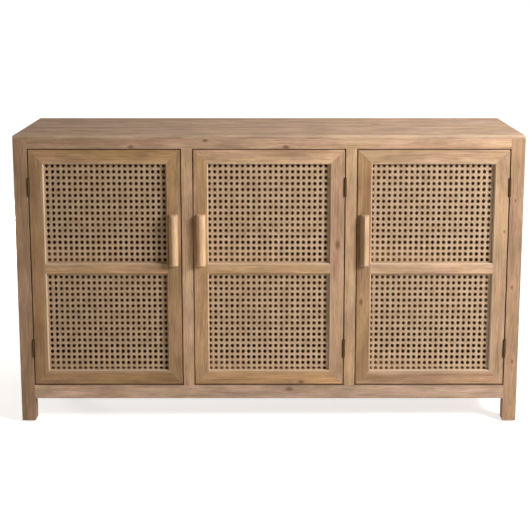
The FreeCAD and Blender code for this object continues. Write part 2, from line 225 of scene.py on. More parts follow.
# %% Working from the carpentry
MERGE_REACH = 0.01 * MM
FLAT_WITHIN = math.radians(1)
EASE_STEPS = 2
SORTED_DIGITS = 4


def merged_copy(node, name):
    """A copy of a carpentry node whose loose triangles are merged into whole faces."""
    take(nodes[node])
    bpy.ops.object.duplicate()
    piece = bpy.context.object
    piece.name = name
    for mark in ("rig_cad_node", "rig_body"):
        del piece[mark]
    edit_all(piece)
    bpy.ops.mesh.remove_doubles(threshold=MERGE_REACH)
    bpy.ops.mesh.dissolve_limited(angle_limit=FLAT_WITHIN)
    close_edit()
    return piece


def eased_copy(node, name, width, sharper_than=30):
    """A merged copy of a carpentry node, eased where its edges turn by more than an angle."""
    piece = merged_copy(node, name)
    finish_with(
        piece,
        "BEVEL",
        width=width,
        segments=EASE_STEPS,
        limit_method="ANGLE",
        angle_limit=math.radians(sharper_than),
        use_clamp_overlap=True,
    )
    smooth_edges_only(piece)
    return piece


def solids_of(node):
    """The low and high corners of each separate solid in a node, from left to right."""
    piece = merged_copy(node, node + "_measure")
    edit_all(piece)
    bpy.ops.mesh.separate(type="LOOSE")
    close_edit()
    boxes = []
    for part in list(bpy.context.selected_objects):
        corners = [vertex.co for vertex in part.data.vertices]
        low = Vector([min(corner[axis] for corner in corners) for axis in range(3)])
        high = Vector([max(corner[axis] for corner in corners) for axis in range(3)])
        boxes.append((low, high))
    bpy.ops.object.delete()
    return sorted(boxes, key=lambda ends: [round(value, SORTED_DIGITS) for value in ends[0]])


def seat(piece, body, slot, *replaced):
    """Lets a finished piece ride on its body, in place of the nodes it stands for. The slot is not
    used.
    """
    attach(piece, body)
    if replaced:
        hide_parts(*replaced)


print("carpentry at hand")

# %% [markdown]
# ## Camera
# The photograph looks straight at the front from a little above, and was squared up afterwards so
# that the uprights stay upright. A camera does that with a shifted lens. The other views keep the
# same shift, so it is kept small here, and a slight tilt does the rest.

# %% Set up the camera
FRAME_PIXELS = 530
SENSOR_WIDTH = 36.0
front_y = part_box("front_left_post")[0].y
camera_distance = 3.2
camera_height = 1.25
camera_tilt = math.radians(9.75)
camera_lens = 80.5
object_pixels_right = 4.0
object_share_up = 0.14

camera_data = bpy.data.cameras.new("portrait_camera")
camera = bpy.data.objects.new("portrait_camera", camera_data)
bpy.context.scene.collection.objects.link(camera)
camera.location = (0.0, front_y - camera_distance, camera_height)
camera.rotation_euler = (math.radians(90) - camera_tilt, 0.0, 0.0)
camera_data.sensor_width = SENSOR_WIDTH
camera_data.lens = camera_lens
camera_data.shift_x = -object_pixels_right / FRAME_PIXELS
camera_data.shift_y = -object_share_up
bpy.context.scene.camera = camera
print("camera at", tuple(camera.location))

# %% [markdown]
# ## Light and floor
# One softbox to the right, above and in front, gives the fall of light from right to left and the
# short shadows of the pulls. A weaker one overhead lights the top, a low one behind keeps the back
# from going black in other views, and the world adds an even and slightly warm fill. The floor and
# the world are white to the eye of the camera and to reflections only, so the white doesn't light
# the wood. Near the legs the floor glows less, and keeps their shadow.

# %% Node helpers
NOISE_MIDDLE = 0.5


def fill_inputs(tree, node, inputs):
    """Fills a node's inputs. Each one is a value, or the output that is linked to it."""
    for socket, value in inputs.items():
        if isinstance(value, bpy.types.NodeSocket):
            tree.links.new(value, node.inputs[socket])
        else:
            node.inputs[socket].default_value = value


def add_node(tree, kind, inputs=None, **settings):
    """Adds a node with its settings and its inputs."""
    made = tree.nodes.new(kind)
    for setting, value in settings.items():
        setattr(made, setting, value)
    fill_inputs(tree, made, inputs or {})
    return made


def maths(tree, operation, first, second=0.0, clamp=False):
    """The output of a Math node."""
    made = add_node(tree, "ShaderNodeMath", {0: first, 1: second}, operation=operation, use_clamp=clamp)
    return made.outputs[0]


def vector_maths(tree, operation, first, second=None, scale=None, output="Vector"):
    """An output of a Vector Math node: its vector, or the Value of a length, distance or product."""
    inputs = {0: first}
    if second is not None:
        inputs[1] = second
    if scale is not None:
        inputs["Scale"] = scale
    return add_node(tree, "ShaderNodeVectorMath", inputs, operation=operation).outputs[output]


def mix_colour(tree, factor, first, second, mode="MIX"):
    """The output of a colour Mix node, whose colour sockets are the seventh, eighth and third."""
    made = add_node(
        tree, "ShaderNodeMix", {0: factor, 6: first, 7: second}, data_type="RGBA", blend_type=mode
    )
    return made.outputs[2]


def noise(tree, vector, scale, detail, roughness=0.5):
    """Noise on a vector, with about as many bumps to the metre as its scale says."""
    inputs = {"Vector": vector, "Scale": scale, "Detail": detail, "Roughness": roughness}
    return add_node(tree, "ShaderNodeTexNoise", inputs).outputs["Fac"]


def span(tree, value, low, high, to_low=0.0, to_high=1.0):
    """A value eased from one range into another."""
    made = add_node(
        tree,
        "ShaderNodeMapRange",
        {"Value": value, "From Min": low, "From Max": high, "To Min": to_low, "To Max": to_high},
        interpolation_type="SMOOTHSTEP",
    )
    return made.outputs["Result"]


def seen_directly(tree):
    """1 for rays from the camera, a mirror or a glass, and 0 for light that falls on things."""
    path = add_node(tree, "ShaderNodeLightPath")
    direct = maths(tree, "MAXIMUM", path.outputs["Is Camera Ray"], path.outputs["Is Glossy Ray"])
    return maths(tree, "MAXIMUM", direct, path.outputs["Is Transmission Ray"])


def new_material(name):
    """A material, with its tree, its shader and the place on the object that its patterns read."""
    material = bpy.data.materials.new(name)
    material.use_nodes = True
    tree = material.node_tree
    place = add_node(tree, "ShaderNodeTexCoord").outputs["Object"]
    return material, tree, tree.nodes["Principled BSDF"], place


print("node helpers ready")

# %% Lay the floor
WHITE = (1.0, 1.0, 1.0, 1.0)
FLOOR_SIZE = 80.0
FLOOR_COLOUR = (0.86, 0.86, 0.85, 1.0)
FLOOR_ROUGHNESS = 0.9
FLOOR_SHINE = 0.1
GLOW_STARTS = 0.7
GLOW_FULL = 2.6
LEAST_GLOW = 0.7
MOST_GLOW = 0.95

floor = begin("studio_floor", bpy.ops.mesh.primitive_plane_add, size=FLOOR_SIZE)
floor_paint, floor_tree, floor_shader, floor_place = new_material("pale_floor")
from_middle = vector_maths(floor_tree, "LENGTH", floor_place, output="Value")
whiteness = span(floor_tree, from_middle, GLOW_STARTS, GLOW_FULL, LEAST_GLOW, MOST_GLOW)
fill_inputs(
    floor_tree,
    floor_shader,
    {
        "Base Color": FLOOR_COLOUR,
        "Roughness": FLOOR_ROUGHNESS,
        "Specular IOR Level": FLOOR_SHINE,
        "Emission Color": WHITE,
        "Emission Strength": maths(floor_tree, "MULTIPLY", seen_directly(floor_tree), whiteness),
    },
)
dress(floor, floor_paint)
floor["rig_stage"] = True
print("floor of", FLOOR_SIZE, "metres")

# %% Light the room
FILL_LIGHT = 0.12
WARM_FILL = (1.0, 0.82, 0.5, 1.0)

world = bpy.data.worlds.new("studio_room")
bpy.context.scene.world = world
world.use_nodes = True
world_tree = world.node_tree
in_sight = seen_directly(world_tree)
fill_inputs(
    world_tree,
    world_tree.nodes["Background"],
    {
        "Color": mix_colour(world_tree, in_sight, WARM_FILL, WHITE),
        "Strength": maths(world_tree, "MAXIMUM", in_sight, FILL_LIGHT),
    },
)
cabinet_middle = (cad_low + cad_high) / 2


def softbox(name, towards, distance, size, power):
    """A square soft light that aims at the middle of the cabinet, from a direction and a distance."""
    light = bpy.data.lights.new(name, "AREA")
    light.shape = "SQUARE"
    light.size = size
    light.energy = power
    lamp = bpy.data.objects.new(name, light)
    bpy.context.scene.collection.objects.link(lamp)
    direction = Vector(towards).normalized()
    lamp.location = cabinet_middle + direction * distance
    lamp.rotation_euler = direction.to_track_quat("Z", "Y").to_euler()
    lamp.visible_camera = False


softbox("key_softbox", (0.72, -0.534, 0.443), distance=2.8, size=0.8, power=82.0)
softbox("top_softbox", (0.5, 0.05, 1.0), distance=1.9, size=0.9, power=9.0)
softbox("back_softbox", (-0.6, 0.8, 0.0), distance=3.5, size=0.8, power=80.0)
print("room with three softboxes")

# %% [markdown]
# ## The grain of limed wood
# The wood is pale and matt, with long streaks, short flecks, finer fibres and dark pores, and a knot
# here and there. Noise that is squeezed across the grain and drawn out along it gives all of these,
# so one node group makes the grain, and each board's material gives it a tone, a seed and perhaps a
# few knots. Near an edge the white of the lime is mixed in, partly as wear where hands and sandpaper
# rub, and partly as a painted highlight where the edge catches the light, so the group also takes
# the distance to such an edge. The material turns the pattern the way the tree grew.

# %% Grain helpers
COLOUR = "NodeSocketColor"
NUMBER = "NodeSocketFloat"
VECTOR = "NodeSocketVector"
KNOT_OVAL = (0.55, 1.0, 1.0)
KNOT_PUSH = (0.0, -0.75, -0.75)
# In sizes of the knot, how far out a mark is full and where it ends, then its strength at each.
KNOT_HEART = (0.2, 1.7, 1.0, 0.0)
KNOT_SWIRL = (0.4, 4.0, 1.0, 0.0)


def new_group(name, inputs):
    """A node group with the given inputs, which puts out a colour, a roughness and a height."""
    group = bpy.data.node_groups.new(name, "ShaderNodeTree")
    for label, kind, default in inputs:
        socket = group.interface.new_socket(label, in_out="INPUT", socket_type=kind)
        socket.default_value = default
    for label, kind in (("Color", COLOUR), ("Roughness", NUMBER), ("Height", NUMBER)):
        group.interface.new_socket(label, in_out="OUTPUT", socket_type=kind)
    given = group.nodes.new("NodeGroupInput").outputs
    return group, given, group.nodes.new("NodeGroupOutput")


def grain_noise(group, vector, along, across, detail, roughness):
    """Noise with so many bumps to the metre along the grain, and so many across it."""
    stretched = vector_maths(group, "MULTIPLY", vector, (along, across, across))
    return noise(group, stretched, 1.0, detail, roughness)


def knot_marks(group, vector, centre, size):
    """The dark heart of a knot, and how far the knot pushes the grain aside."""
    away = vector_maths(group, "SUBTRACT", vector, centre)
    oval = vector_maths(group, "MULTIPLY", away, KNOT_OVAL)
    steps = maths(group, "DIVIDE", vector_maths(group, "LENGTH", oval, output="Value"), size)
    heart = span(group, steps, *KNOT_HEART)
    swirl = span(group, steps, *KNOT_SWIRL)
    inwards = vector_maths(group, "MULTIPLY", away, KNOT_PUSH)
    return heart, vector_maths(group, "SCALE", inwards, scale=swirl)


def grey(group, value):
    """A value as a grey colour."""
    made = add_node(group, "ShaderNodeCombineColor", {"Red": value, "Green": value, "Blue": value})
    return made.outputs[0]


print("grain helpers ready")

# %% Build the grain group
KNOT_NAMES = ("Knot", "Second Knot", "Third Knot")
NOWHERE = (0.0, 0.0, -10.0)
SEED_STEP = (1.31, 0.47, 0.83)
WANDER_REACH = (0.0, 0.03, 0.03)
# Bumps to the metre along and across the grain, then the detail and the roughness of the noise.
WANDER_NOISE = (2.2, 5.0, 1.0, 0.5)
GRAIN_NOISE = {
    "clouds": (8.0, 26.0, 3.0, 0.6),
    "hues": (7.0, 24.0, 2.0, 0.5),
    "broad": (2.2, 18.0, 2.0, 0.5),
    "bands": (3.0, 95.0, 3.0, 0.6),
    "streaks": (7.0, 240.0, 3.0, 0.6),
    "flecks": (16.0, 230.0, 2.0, 0.6),
    "fibres": (9.0, 620.0, 2.0, 0.5),
    "pores": (34.0, 1100.0, 1.0, 0.5),
}
DARK_FROM = {"bands": 0.47, "streaks": 0.5, "flecks": 0.56}
FULLY_DARK = 0.72
WARM_DRIFT = 1.8
# The low and high values of a noise, and what they become.
CLOUD_SHADES = (0.3, 0.7, 0.81, 1.19)
FIBRE_SHADES = (0.3, 0.7, 0.87, 1.13)
FIBRE_ROUGHNESS = (0.2, 0.8, 0.6, 0.78)
STREAKY_WEAR_AND_HIGHLIGHT = (0.3, 0.7, 1.1, 0.7)
HUES_BETWEEN = (0.36, 0.64)
PORES_BETWEEN = (0.62, 0.74)
FIBRE_HEIGHT = 0.5
PINKER = (1.01, 0.985, 1.03, 1.0)
YELLOWER = (0.98, 1.0, 0.93, 1.0)
PORE_SHARE = 0.5
KNOT_BROWN = (0.42, 0.34, 0.3, 1.0)
KNOT_SHARE = 0.78
# Near an edge the lime shows as wear and as a painted highlight: a broad strip and a fine line.
RUBBED_LIT_REACH = 13.0 * MM
RUBBED_LIT_SHARE = 0.26
LIT_ARRIS_FROM = 0.2 * MM
LIT_ARRIS_REACH = 2.2 * MM
LIT_ARRIS_SHARE = 0.6


def build_grain_group():
    """Streaks, flecks, pores, a few knots, and wear with a painted highlight at an edge, on a vector
    whose X runs along the grain.
    """
    inputs = [
        ("Vector", VECTOR, ORIGIN),
        ("Seed", NUMBER, 0.0),
        ("Pale", COLOUR, WHITE),
        ("Warm", COLOUR, WHITE),
        ("Dark", COLOUR, WHITE),
        ("Limed", COLOUR, WHITE),
        ("Warmth", NUMBER, 0.5),
        ("Depth", NUMBER, 0.0),
        ("Streaks", NUMBER, 0.5),
        ("Edge Distance", NUMBER, 1.0),
    ]
    for knot in KNOT_NAMES:
        inputs += [(knot + " Centre", VECTOR, NOWHERE), (knot + " Size", NUMBER, 0.01)]
    group, given, result = new_group("limed_grain", inputs)

    seed_step = vector_maths(group, "SCALE", SEED_STEP, scale=given["Seed"])
    bent = vector_maths(group, "ADD", given["Vector"], seed_step)
    hearts = 0.0
    for knot in KNOT_NAMES:
        heart, push = knot_marks(group, given["Vector"], given[knot + " Centre"], given[knot + " Size"])
        hearts = maths(group, "MAXIMUM", hearts, heart)
        bent = vector_maths(group, "ADD", bent, push)
    wander = maths(group, "SUBTRACT", grain_noise(group, bent, *WANDER_NOISE), NOISE_MIDDLE)
    sideways = vector_maths(group, "SCALE", WANDER_REACH, scale=wander)
    place = vector_maths(group, "ADD", bent, sideways)
    marks = {kind: grain_noise(group, place, *settings) for kind, settings in GRAIN_NOISE.items()}

    broad = maths(group, "SUBTRACT", marks["broad"], NOISE_MIDDLE)
    drift = maths(group, "MULTIPLY", broad, WARM_DRIFT)
    warm_share = maths(group, "ADD", given["Warmth"], drift, clamp=True)
    wood = mix_colour(group, warm_share, given["Pale"], given["Warm"])
    for kind, dark_from in DARK_FROM.items():
        darkness = span(group, marks[kind], dark_from, FULLY_DARK)
        dark_share = maths(group, "MULTIPLY", darkness, given["Streaks"])
        wood = mix_colour(group, dark_share, wood, given["Dark"])

    cloudy = span(group, marks["clouds"], *CLOUD_SHADES)
    fibrous = span(group, marks["fibres"], *FIBRE_SHADES)
    deep = maths(group, "SUBTRACT", 1.0, given["Depth"])
    shade = maths(group, "MULTIPLY", maths(group, "MULTIPLY", cloudy, fibrous), deep)
    wood = mix_colour(group, 1.0, wood, grey(group, shade), "MULTIPLY")
    hue = mix_colour(group, span(group, marks["hues"], *HUES_BETWEEN), PINKER, YELLOWER)
    wood = mix_colour(group, 1.0, wood, hue, "MULTIPLY")
    pores = span(group, marks["pores"], *PORES_BETWEEN)
    wood = mix_colour(group, maths(group, "MULTIPLY", pores, PORE_SHARE), wood, given["Dark"])
    knot_brown = mix_colour(group, 1.0, given["Dark"], KNOT_BROWN, "MULTIPLY")
    wood = mix_colour(group, maths(group, "MULTIPLY", hearts, KNOT_SHARE), wood, knot_brown)

    # The edge's wear and painted highlight: the lime's colour mixed in near the edge.
    rubbed_and_lit = span(group, given["Edge Distance"], 0.0, RUBBED_LIT_REACH, RUBBED_LIT_SHARE, 0.0)
    worn_lit_arris = span(group, given["Edge Distance"], LIT_ARRIS_FROM, LIT_ARRIS_REACH, LIT_ARRIS_SHARE, 0.0)
    uneven = span(group, marks["streaks"], *STREAKY_WEAR_AND_HIGHLIGHT)
    wear = maths(group, "MULTIPLY", maths(group, "ADD", rubbed_and_lit, worn_lit_arris), uneven, clamp=True)
    ridges = maths(group, "MULTIPLY", marks["fibres"], FIBRE_HEIGHT)
    fill_inputs(
        group,
        result,
        {
            "Color": mix_colour(group, wear, wood, given["Limed"]),
            "Roughness": span(group, marks["fibres"], *FIBRE_ROUGHNESS),
            "Height": maths(group, "SUBTRACT", ridges, pores),
        },
    )
    return group


grain_group = build_grain_group()
print("grain group with", len(grain_group.nodes), "nodes")

# %% [markdown]
# ## A tone for each board
# No two boards come from the same tree. The dividers are the palest, the doors lean to yellow and
# the posts to a pinkish grey, so each kind of board has three colours, and each board its own share
# of warm wood. The boards inside are darker, as painted shade. Some boards have knots, and a few
# are painted paler or darker towards one end, as light and shade that fall there.

# %% Timber materials
TONES = {
    "frame": ((0.50, 0.33, 0.225), (0.43, 0.265, 0.165), (0.30, 0.175, 0.10)),
    "top": ((0.49, 0.335, 0.235), (0.43, 0.28, 0.18), (0.30, 0.185, 0.115)),
    "sill": ((0.51, 0.35, 0.26), (0.44, 0.285, 0.19), (0.31, 0.19, 0.12)),
    "divider": ((0.56, 0.37, 0.24), (0.50, 0.315, 0.19), (0.36, 0.215, 0.125)),
    "door": ((0.49, 0.315, 0.19), (0.42, 0.25, 0.125), (0.28, 0.155, 0.075)),
    "pale_door": ((0.50, 0.33, 0.22), (0.44, 0.27, 0.16), (0.30, 0.17, 0.09)),
    "panel": ((0.49, 0.325, 0.215), (0.43, 0.265, 0.16), (0.29, 0.17, 0.095)),
    # The boards inside are darker and browner: painted shade.
    "inside": ((0.38, 0.21, 0.10), (0.32, 0.16, 0.065), (0.20, 0.095, 0.03)),
    "pull": ((0.62, 0.42, 0.275), (0.56, 0.365, 0.225), (0.40, 0.235, 0.125)),
}
USUAL_WARMTH = 0.45
USUAL_STREAKS = 0.55
GRAIN_TURN = {
    "X": (0.0, 0.0, 0.0),
    "Y": (0.0, 0.0, math.radians(-90)),
    "Z": (0.0, math.radians(90), 0.0),
}
GRAIN_RELIEF = 0.25 * MM
# The lime's colour, which also paints the highlight along the edges.
LIMED_AND_HIGHLIGHT = (0.74, 0.59, 0.43, 1.0)
WOOD_SHINE = 0.15


def wear_skin(tree, shader, group, values, relief):
    """Lets a group, with a material's own values, give the shader its colour, roughness and relief."""
    skin = add_node(tree, "ShaderNodeGroup", values, node_tree=group)
    bump = add_node(tree, "ShaderNodeBump", {"Height": skin.outputs["Height"], "Distance": relief})
    fill_inputs(
        tree,
        shader,
        {
            "Base Color": skin.outputs["Color"],
            "Roughness": skin.outputs["Roughness"],
            "Normal": bump.outputs["Normal"],
        },
    )


def timber(
    name,
    grain,
    tone,
    seed,
    warmth=USUAL_WARMTH,
    depth=0.0,
    streaks=USUAL_STREAKS,
    knots=(),
    edge=None,
    sunned=None,
):
    """A board's material: the grain group, turned along the board, with the board's own values.

    A knot is its centre and size. An edge, with its wear and painted highlight, is a point on it and
    the way that it faces. Painted light makes a board paler round a point, out to a reach, and a
    negative value makes it darker, as painted shade.
    """
    material, tree, shader, place = new_material(name)
    along = add_node(tree, "ShaderNodeMapping", {"Vector": place, "Rotation": GRAIN_TURN[grain]})
    pale, warm, dark = [(*colour, 1.0) for colour in TONES[tone]]
    values = {
        "Vector": along.outputs[0],
        "Seed": seed,
        "Pale": pale,
        "Warm": warm,
        "Dark": dark,
        "Limed": LIMED_AND_HIGHLIGHT,
        "Warmth": warmth,
        "Depth": depth,
        "Streaks": streaks,
    }
    for knot, (centre, size) in zip(KNOT_NAMES, knots):
        values[knot + " Centre"] = Euler(GRAIN_TURN[grain]).to_matrix() @ Vector(centre)
        values[knot + " Size"] = size
    if edge:
        point, faces = edge
        inwards = vector_maths(tree, "SUBTRACT", point, place)
        values["Edge Distance"] = vector_maths(tree, "DOT_PRODUCT", inwards, faces, output="Value")
    if sunned:
        point, reach, paler = sunned
        away = vector_maths(tree, "DISTANCE", place, point, output="Value")
        values["Depth"] = span(tree, away, 0.0, reach, depth - paler, depth)
    wear_skin(tree, shader, grain_group, values, GRAIN_RELIEF)
    shader.inputs["Specular IOR Level"].default_value = WOOD_SHINE
    return material


print("timber tones:", ", ".join(TONES))

# %% The look of each board
WARMTH_AND_DEPTH = {
    "left_door_hinge_stile": (0.95, 0.11),
    "left_door_pull_stile": (0.7, 0.08),
    "left_door_top_rail": (0.9, -0.05),
    "left_door_bottom_rail": (0.95, 0.12),
    "left_door_mid_rail": (0.35, -0.12),
    "centre_door_pull_stile": (0.5, -0.15),
    "centre_door_hinge_stile": (0.55, 0.0),
    "centre_door_top_rail": (0.5, -0.18),
    "centre_door_bottom_rail": (0.85, -0.13),
    "centre_door_mid_rail": (0.35, -0.11),
    "right_door_pull_stile": (0.9, 0.14),
    "right_door_hinge_stile": (0.3, 0.07),
    "right_door_top_rail": (0.2, -0.01),
    "right_door_bottom_rail": (0.8, 0.08),
    "right_door_mid_rail": (0.1, -0.08),
    "front_left_post": (0.75, 0.05),
    "front_right_post": (1.0, 0.15),
    "front_bottom_rail": (0.0, 0.07),
    "front_top_rail": (0.3, -0.05),
    "top_panel": (0.25, -0.06),
    "left_divider": (0.4, -0.03),
    "right_divider": (0.55, 0.04),
}
FRONT = -0.19
KNOTS = {
    "front_top_rail": [
        ((-0.378, FRONT, 0.788), 5.0 * MM),
        ((-0.174, FRONT, 0.806), 4.0 * MM),
        ((0.046, FRONT, 0.788), 4.5 * MM),
    ],
    "front_bottom_rail": [((0.057, FRONT, 0.098), 6.0 * MM)],
    "centre_door_bottom_rail": [((0.09, FRONT, 0.118), 5.0 * MM)],
    "centre_door_hinge_stile": [((0.19, FRONT, 0.515), 7.0 * MM)],
    "front_right_post": [
        ((0.678, FRONT, 0.639), 2.8 * MM),
        ((0.676, FRONT, 0.393), 2.8 * MM),
        ((0.684, FRONT, 0.178), 3.2 * MM),
    ],
    "right_door_pull_stile": [((0.256, FRONT, 0.351), 4.5 * MM)],
    "right_door_hinge_stile": [((0.65, FRONT, 0.552), 3.0 * MM)],
    "top_panel": [((0.31, 0.06, 0.82), 7.0 * MM)],
    "left_side_panel": [((-0.69, 0.03, 0.46), 9.0 * MM)],
    "right_side_panel": [((0.69, -0.05, 0.36), 8.0 * MM)],
}
# Painted light and shade: a board is painted paler or darker towards one end.
PAINTED_END_LIGHT = {
    "top_panel": ((-0.68, 0.0, 0.82), 0.6, -0.09),
    "front_top_rail": ((-0.62, FRONT, 0.80), 0.5, -0.08),
    "front_left_post": ((-0.68, FRONT, 0.04), 0.2, -0.12),
    "front_bottom_rail": ((-0.66, FRONT, 0.09), 0.75, 0.37),
    "front_right_post": ((0.68, FRONT, 0.04), 0.2, 0.05),
}
# The inner boards take the darker inside tone, as painted shade.
TONE_OF_SLOT = {"frame_wood": "frame", "door_wood": "door", "panel_wood": "inside"}
TONE_OF_NODE = {
    "left_divider": "divider",
    "right_divider": "divider",
    "left_side_panel": "panel",
    "right_side_panel": "panel",
    "top_panel": "top",
    "front_bottom_rail": "sill",
    "centre_door_hinge_stile": "pale_door",
    "centre_door_top_rail": "pale_door",
    "right_door_hinge_stile": "pale_door",
    "right_door_top_rail": "pale_door",
    "right_door_mid_rail": "pale_door",
    "right_door_bottom_rail": "pale_door",
}
print(len(WARMTH_AND_DEPTH), "boards with a look of their own,", len(KNOTS), "with knots")

# %% [markdown]
# ## Easing the boards
# A joiner breaks every sharp edge with sandpaper, so that no corner is a knife and each one catches
# a line of light. Each board is copied from the carpentry, its triangles are merged into whole
# faces, and a bevel modifier rounds its edges. Weighted normals then keep the broad faces flat
# beside them. Where two boards meet, their eased edges leave the fine groove that shows a real joint.

# %% Which way a board's grain runs, and which edge shows wear and a painted highlight
TOP_EDGE_WAY = 1.5
PULL_STILE_WAY = 2.2


def grain_of(node):
    """The axis that a board's grain runs along, which is the board's length."""
    if node.endswith(("post", "divider", "stile", "side_panel", "partition")):
        return "Z"
    return "Y" if node.endswith("side_rail") else "X"


def rubbed_lit_edge(node):
    """A point on a board's edge that shows wear and a painted highlight, and the way that it faces.

    The longer that way is, the narrower is that pale strip.
    """
    low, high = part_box(node)
    if node == "top_panel":
        return (0.0, low.y, high.z), (0.0, -TOP_EDGE_WAY, TOP_EDGE_WAY)
    if node.endswith("stile"):
        cane_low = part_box(node.split("_door_")[0] + "_door_cane_sheet")[0]
        way = PULL_STILE_WAY if node.endswith("pull_stile") else 1.0
        if low.x < cane_low.x:
            return (high.x, 0.0, 0.0), (way, 0.0, 0.0)
        return (low.x, 0.0, 0.0), (-way, 0.0, 0.0)
    if node.endswith(("door_bottom_rail", "door_mid_rail")):
        return (0.0, 0.0, high.z), (0.0, 0.0, 1.0)
    if node.endswith("door_top_rail"):
        return (0.0, 0.0, low.z), (0.0, 0.0, -1.0)
    return None


print("the top is rubbed at", rubbed_lit_edge("top_panel")[0])

# %% Ease and grain every board
EASE = 0.5 * MM
EASED_ANGLE = 25
BEAD_WIDTH = 9.0 * MM
FACES_BACK = 0.5
body_of = {}
for body, members in frame["record"]["behaviour"]["bodies"].items():
    for member in members:
        body_of[member] = body
slot_of = {part["node"]: part["material_slot"] for part in frame["record"]["subparts"]}


def board(node, seed):
    """A board from the carpentry with eased edges and its own timber."""
    piece = eased_copy(node, node + "_timber", EASE, EASED_ANGLE)
    tone = TONE_OF_NODE.get(node, TONE_OF_SLOT[slot_of[node]])
    warmth, depth = WARMTH_AND_DEPTH.get(node, (USUAL_WARMTH, 0.0))
    look = {
        "warmth": warmth,
        "depth": depth,
        "knots": KNOTS.get(node, ()),
        "edge": rubbed_lit_edge(node),
        "sunned": PAINTED_END_LIGHT.get(node),
    }
    dress(piece, timber(node + "_grain", grain_of(node), tone, seed, **look))
    if node.endswith("cane_beads"):
        piece.data.materials.append(timber(node + "_upright_grain", "Z", tone, seed, **look))
        low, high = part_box(node)
        for face in piece.data.polygons:
            beside = min(face.center.x - low.x, high.x - face.center.x)
            above = min(face.center.z - low.z, high.z - face.center.z)
            face.material_index = int(beside < BEAD_WIDTH and beside < above)
    # The back's inner faces keep the inside tone, painted shade, and its outer faces get the paler
    # panel tone.
    if node == "back_panel":
        piece.data.materials.append(timber(node + "_outer_grain", grain_of(node), "panel", seed))
        for face in piece.data.polygons:
            face.material_index = int(face.normal.y > FACES_BACK)
    seat(piece, body_of[node], slot_of[node], node)


board_nodes = [node for node in sorted(nodes) if slot_of[node] in TONE_OF_SLOT]
for number, node in enumerate(board_nodes):
    board(node, number)
print(len(board_nodes), "boards eased and grained")

# %% [markdown]
# ## Weaving the cane
# Cane webbing has strands in four directions. Uprights and levels run in pairs and cross as a plain
# weave. Between the crossings two diagonals pass, one over the uprights and under the levels, and
# one the other way round, and that leaves the eight-sided holes. The diagonals are painted paler and
# the pairs darker, a painted sheen on the diagonals that lie on top, so the eye follows them across
# the pairs. A picture of a weave on a flat sheet would do from far away. Here the strands are real,
# because light falls through the holes and catches every crown: one repeat is woven from flat rings
# that are extruded over and under, and arrays then copy it across the door.

# %% Weave one repeat
PITCH_X = 15.3 * MM
PITCH_Z = 16.55 * MM
PAIR_SPACING = 2.4 * MM
STRAND_WIDTH = 1.7 * MM
DIAGONAL_WIDTH = 1.6 * MM
STRAND_THICKNESS = 0.62 * MM
PAIR_LIFT = 0.34 * MM
DIAGONAL_LIFT = 0.66 * MM
CROSSING_REACH = 2.2 * MM
DIAGONAL_FLAT = 4.2 * MM
DIAGONAL_DIVE = 7.1 * MM
RING_SIDES = 4


def strand(name, start, towards, width, stops, skin):
    """One repeat of a strand: a flat ring, extruded from stop to stop.

    A stop is the way along the strand, and how far behind the middle of the sheet it lies there.
    """
    towards = Vector(towards).normalized()
    points = [Vector(start) + towards * along + Vector((0.0, lift, 0.0)) for along, lift in stops]
    piece = begin(
        name,
        bpy.ops.mesh.primitive_circle_add,
        points[0],
        (width / 2, STRAND_THICKNESS / 2, 1.0),
        vertices=RING_SIDES,
        radius=1.0,
        rotation=(0.0, math.atan2(towards.x, towards.z), 0.0),
    )
    edit_all(piece)
    for here, there in zip(points, points[1:]):
        bpy.ops.mesh.extrude_region_move(TRANSFORM_OT_translate={"value": there - here})
    close_edit()
    dress(piece, skin)
    return piece


def pair_stops(first, crossing, pitch, lift):
    """The stops of a strand in a pair: level past the diagonals, then over and under the other pair."""
    return [
        (first - CROSSING_REACH, 0.0),
        (first + CROSSING_REACH, 0.0),
        (crossing - PAIR_SPACING / 2, lift),
        (crossing + PAIR_SPACING / 2, -lift),
        (first + pitch - CROSSING_REACH, 0.0),
    ]


def diagonal_stops(length, lift):
    """The stops of a diagonal: behind one pair, before the next, and behind again."""
    return [
        (0.0, lift),
        (DIAGONAL_FLAT, lift),
        (DIAGONAL_DIVE, -lift),
        (length - DIAGONAL_DIVE, -lift),
        (length - DIAGONAL_FLAT, lift),
        (length, lift),
    ]


def weave_repeat(middle, pair_skin, diagonal_skin):
    """One repeat of the weave round the middle of an upright pair."""
    half_x = PITCH_X / 2
    half_z = PITCH_Z / 2
    diagonal = math.hypot(PITCH_X, PITCH_Z)
    strands = []
    for side in (-1, 1):
        upright = middle + Vector((side * PAIR_SPACING / 2, 0.0, 0.0))
        level = middle + Vector((0.0, 0.0, half_z + side * PAIR_SPACING / 2))
        slant = middle + Vector((-half_x, 0.0, side * half_z))
        slant_way = (PITCH_X, 0, -side * PITCH_Z)
        up_stops = pair_stops(0.0, half_z, PITCH_Z, side * PAIR_LIFT)
        level_stops = pair_stops(-half_x, 0.0, PITCH_X, -side * PAIR_LIFT)
        slant_stops = diagonal_stops(diagonal, -side * DIAGONAL_LIFT)
        strands += [
            strand("upright", upright, (0, 0, 1), STRAND_WIDTH, up_stops, pair_skin),
            strand("level", level, (1, 0, 0), STRAND_WIDTH, level_stops, pair_skin),
            strand("slant", slant, slant_way, DIAGONAL_WIDTH, slant_stops, diagonal_skin),
        ]
    return join("weave_repeat", strands)


print("repeat of", round(PITCH_X / MM, 2), "by", round(PITCH_Z / MM, 2), "mm")

# %% [markdown]
# ## Filling the doors
# The repeat is copied by two arrays, one along the door and one up it, and the sheet is cut off in
# the rebate. Each door's sheet was cut from the roll at another place, so its first column of holes
# lies at another distance from the frame, and its tone is a little paler or darker. Cane keeps the
# smooth skin of its stem, which age mottles. A node group gives it patches and a fine tooth, because
# the metals and the plastic need the same later on.

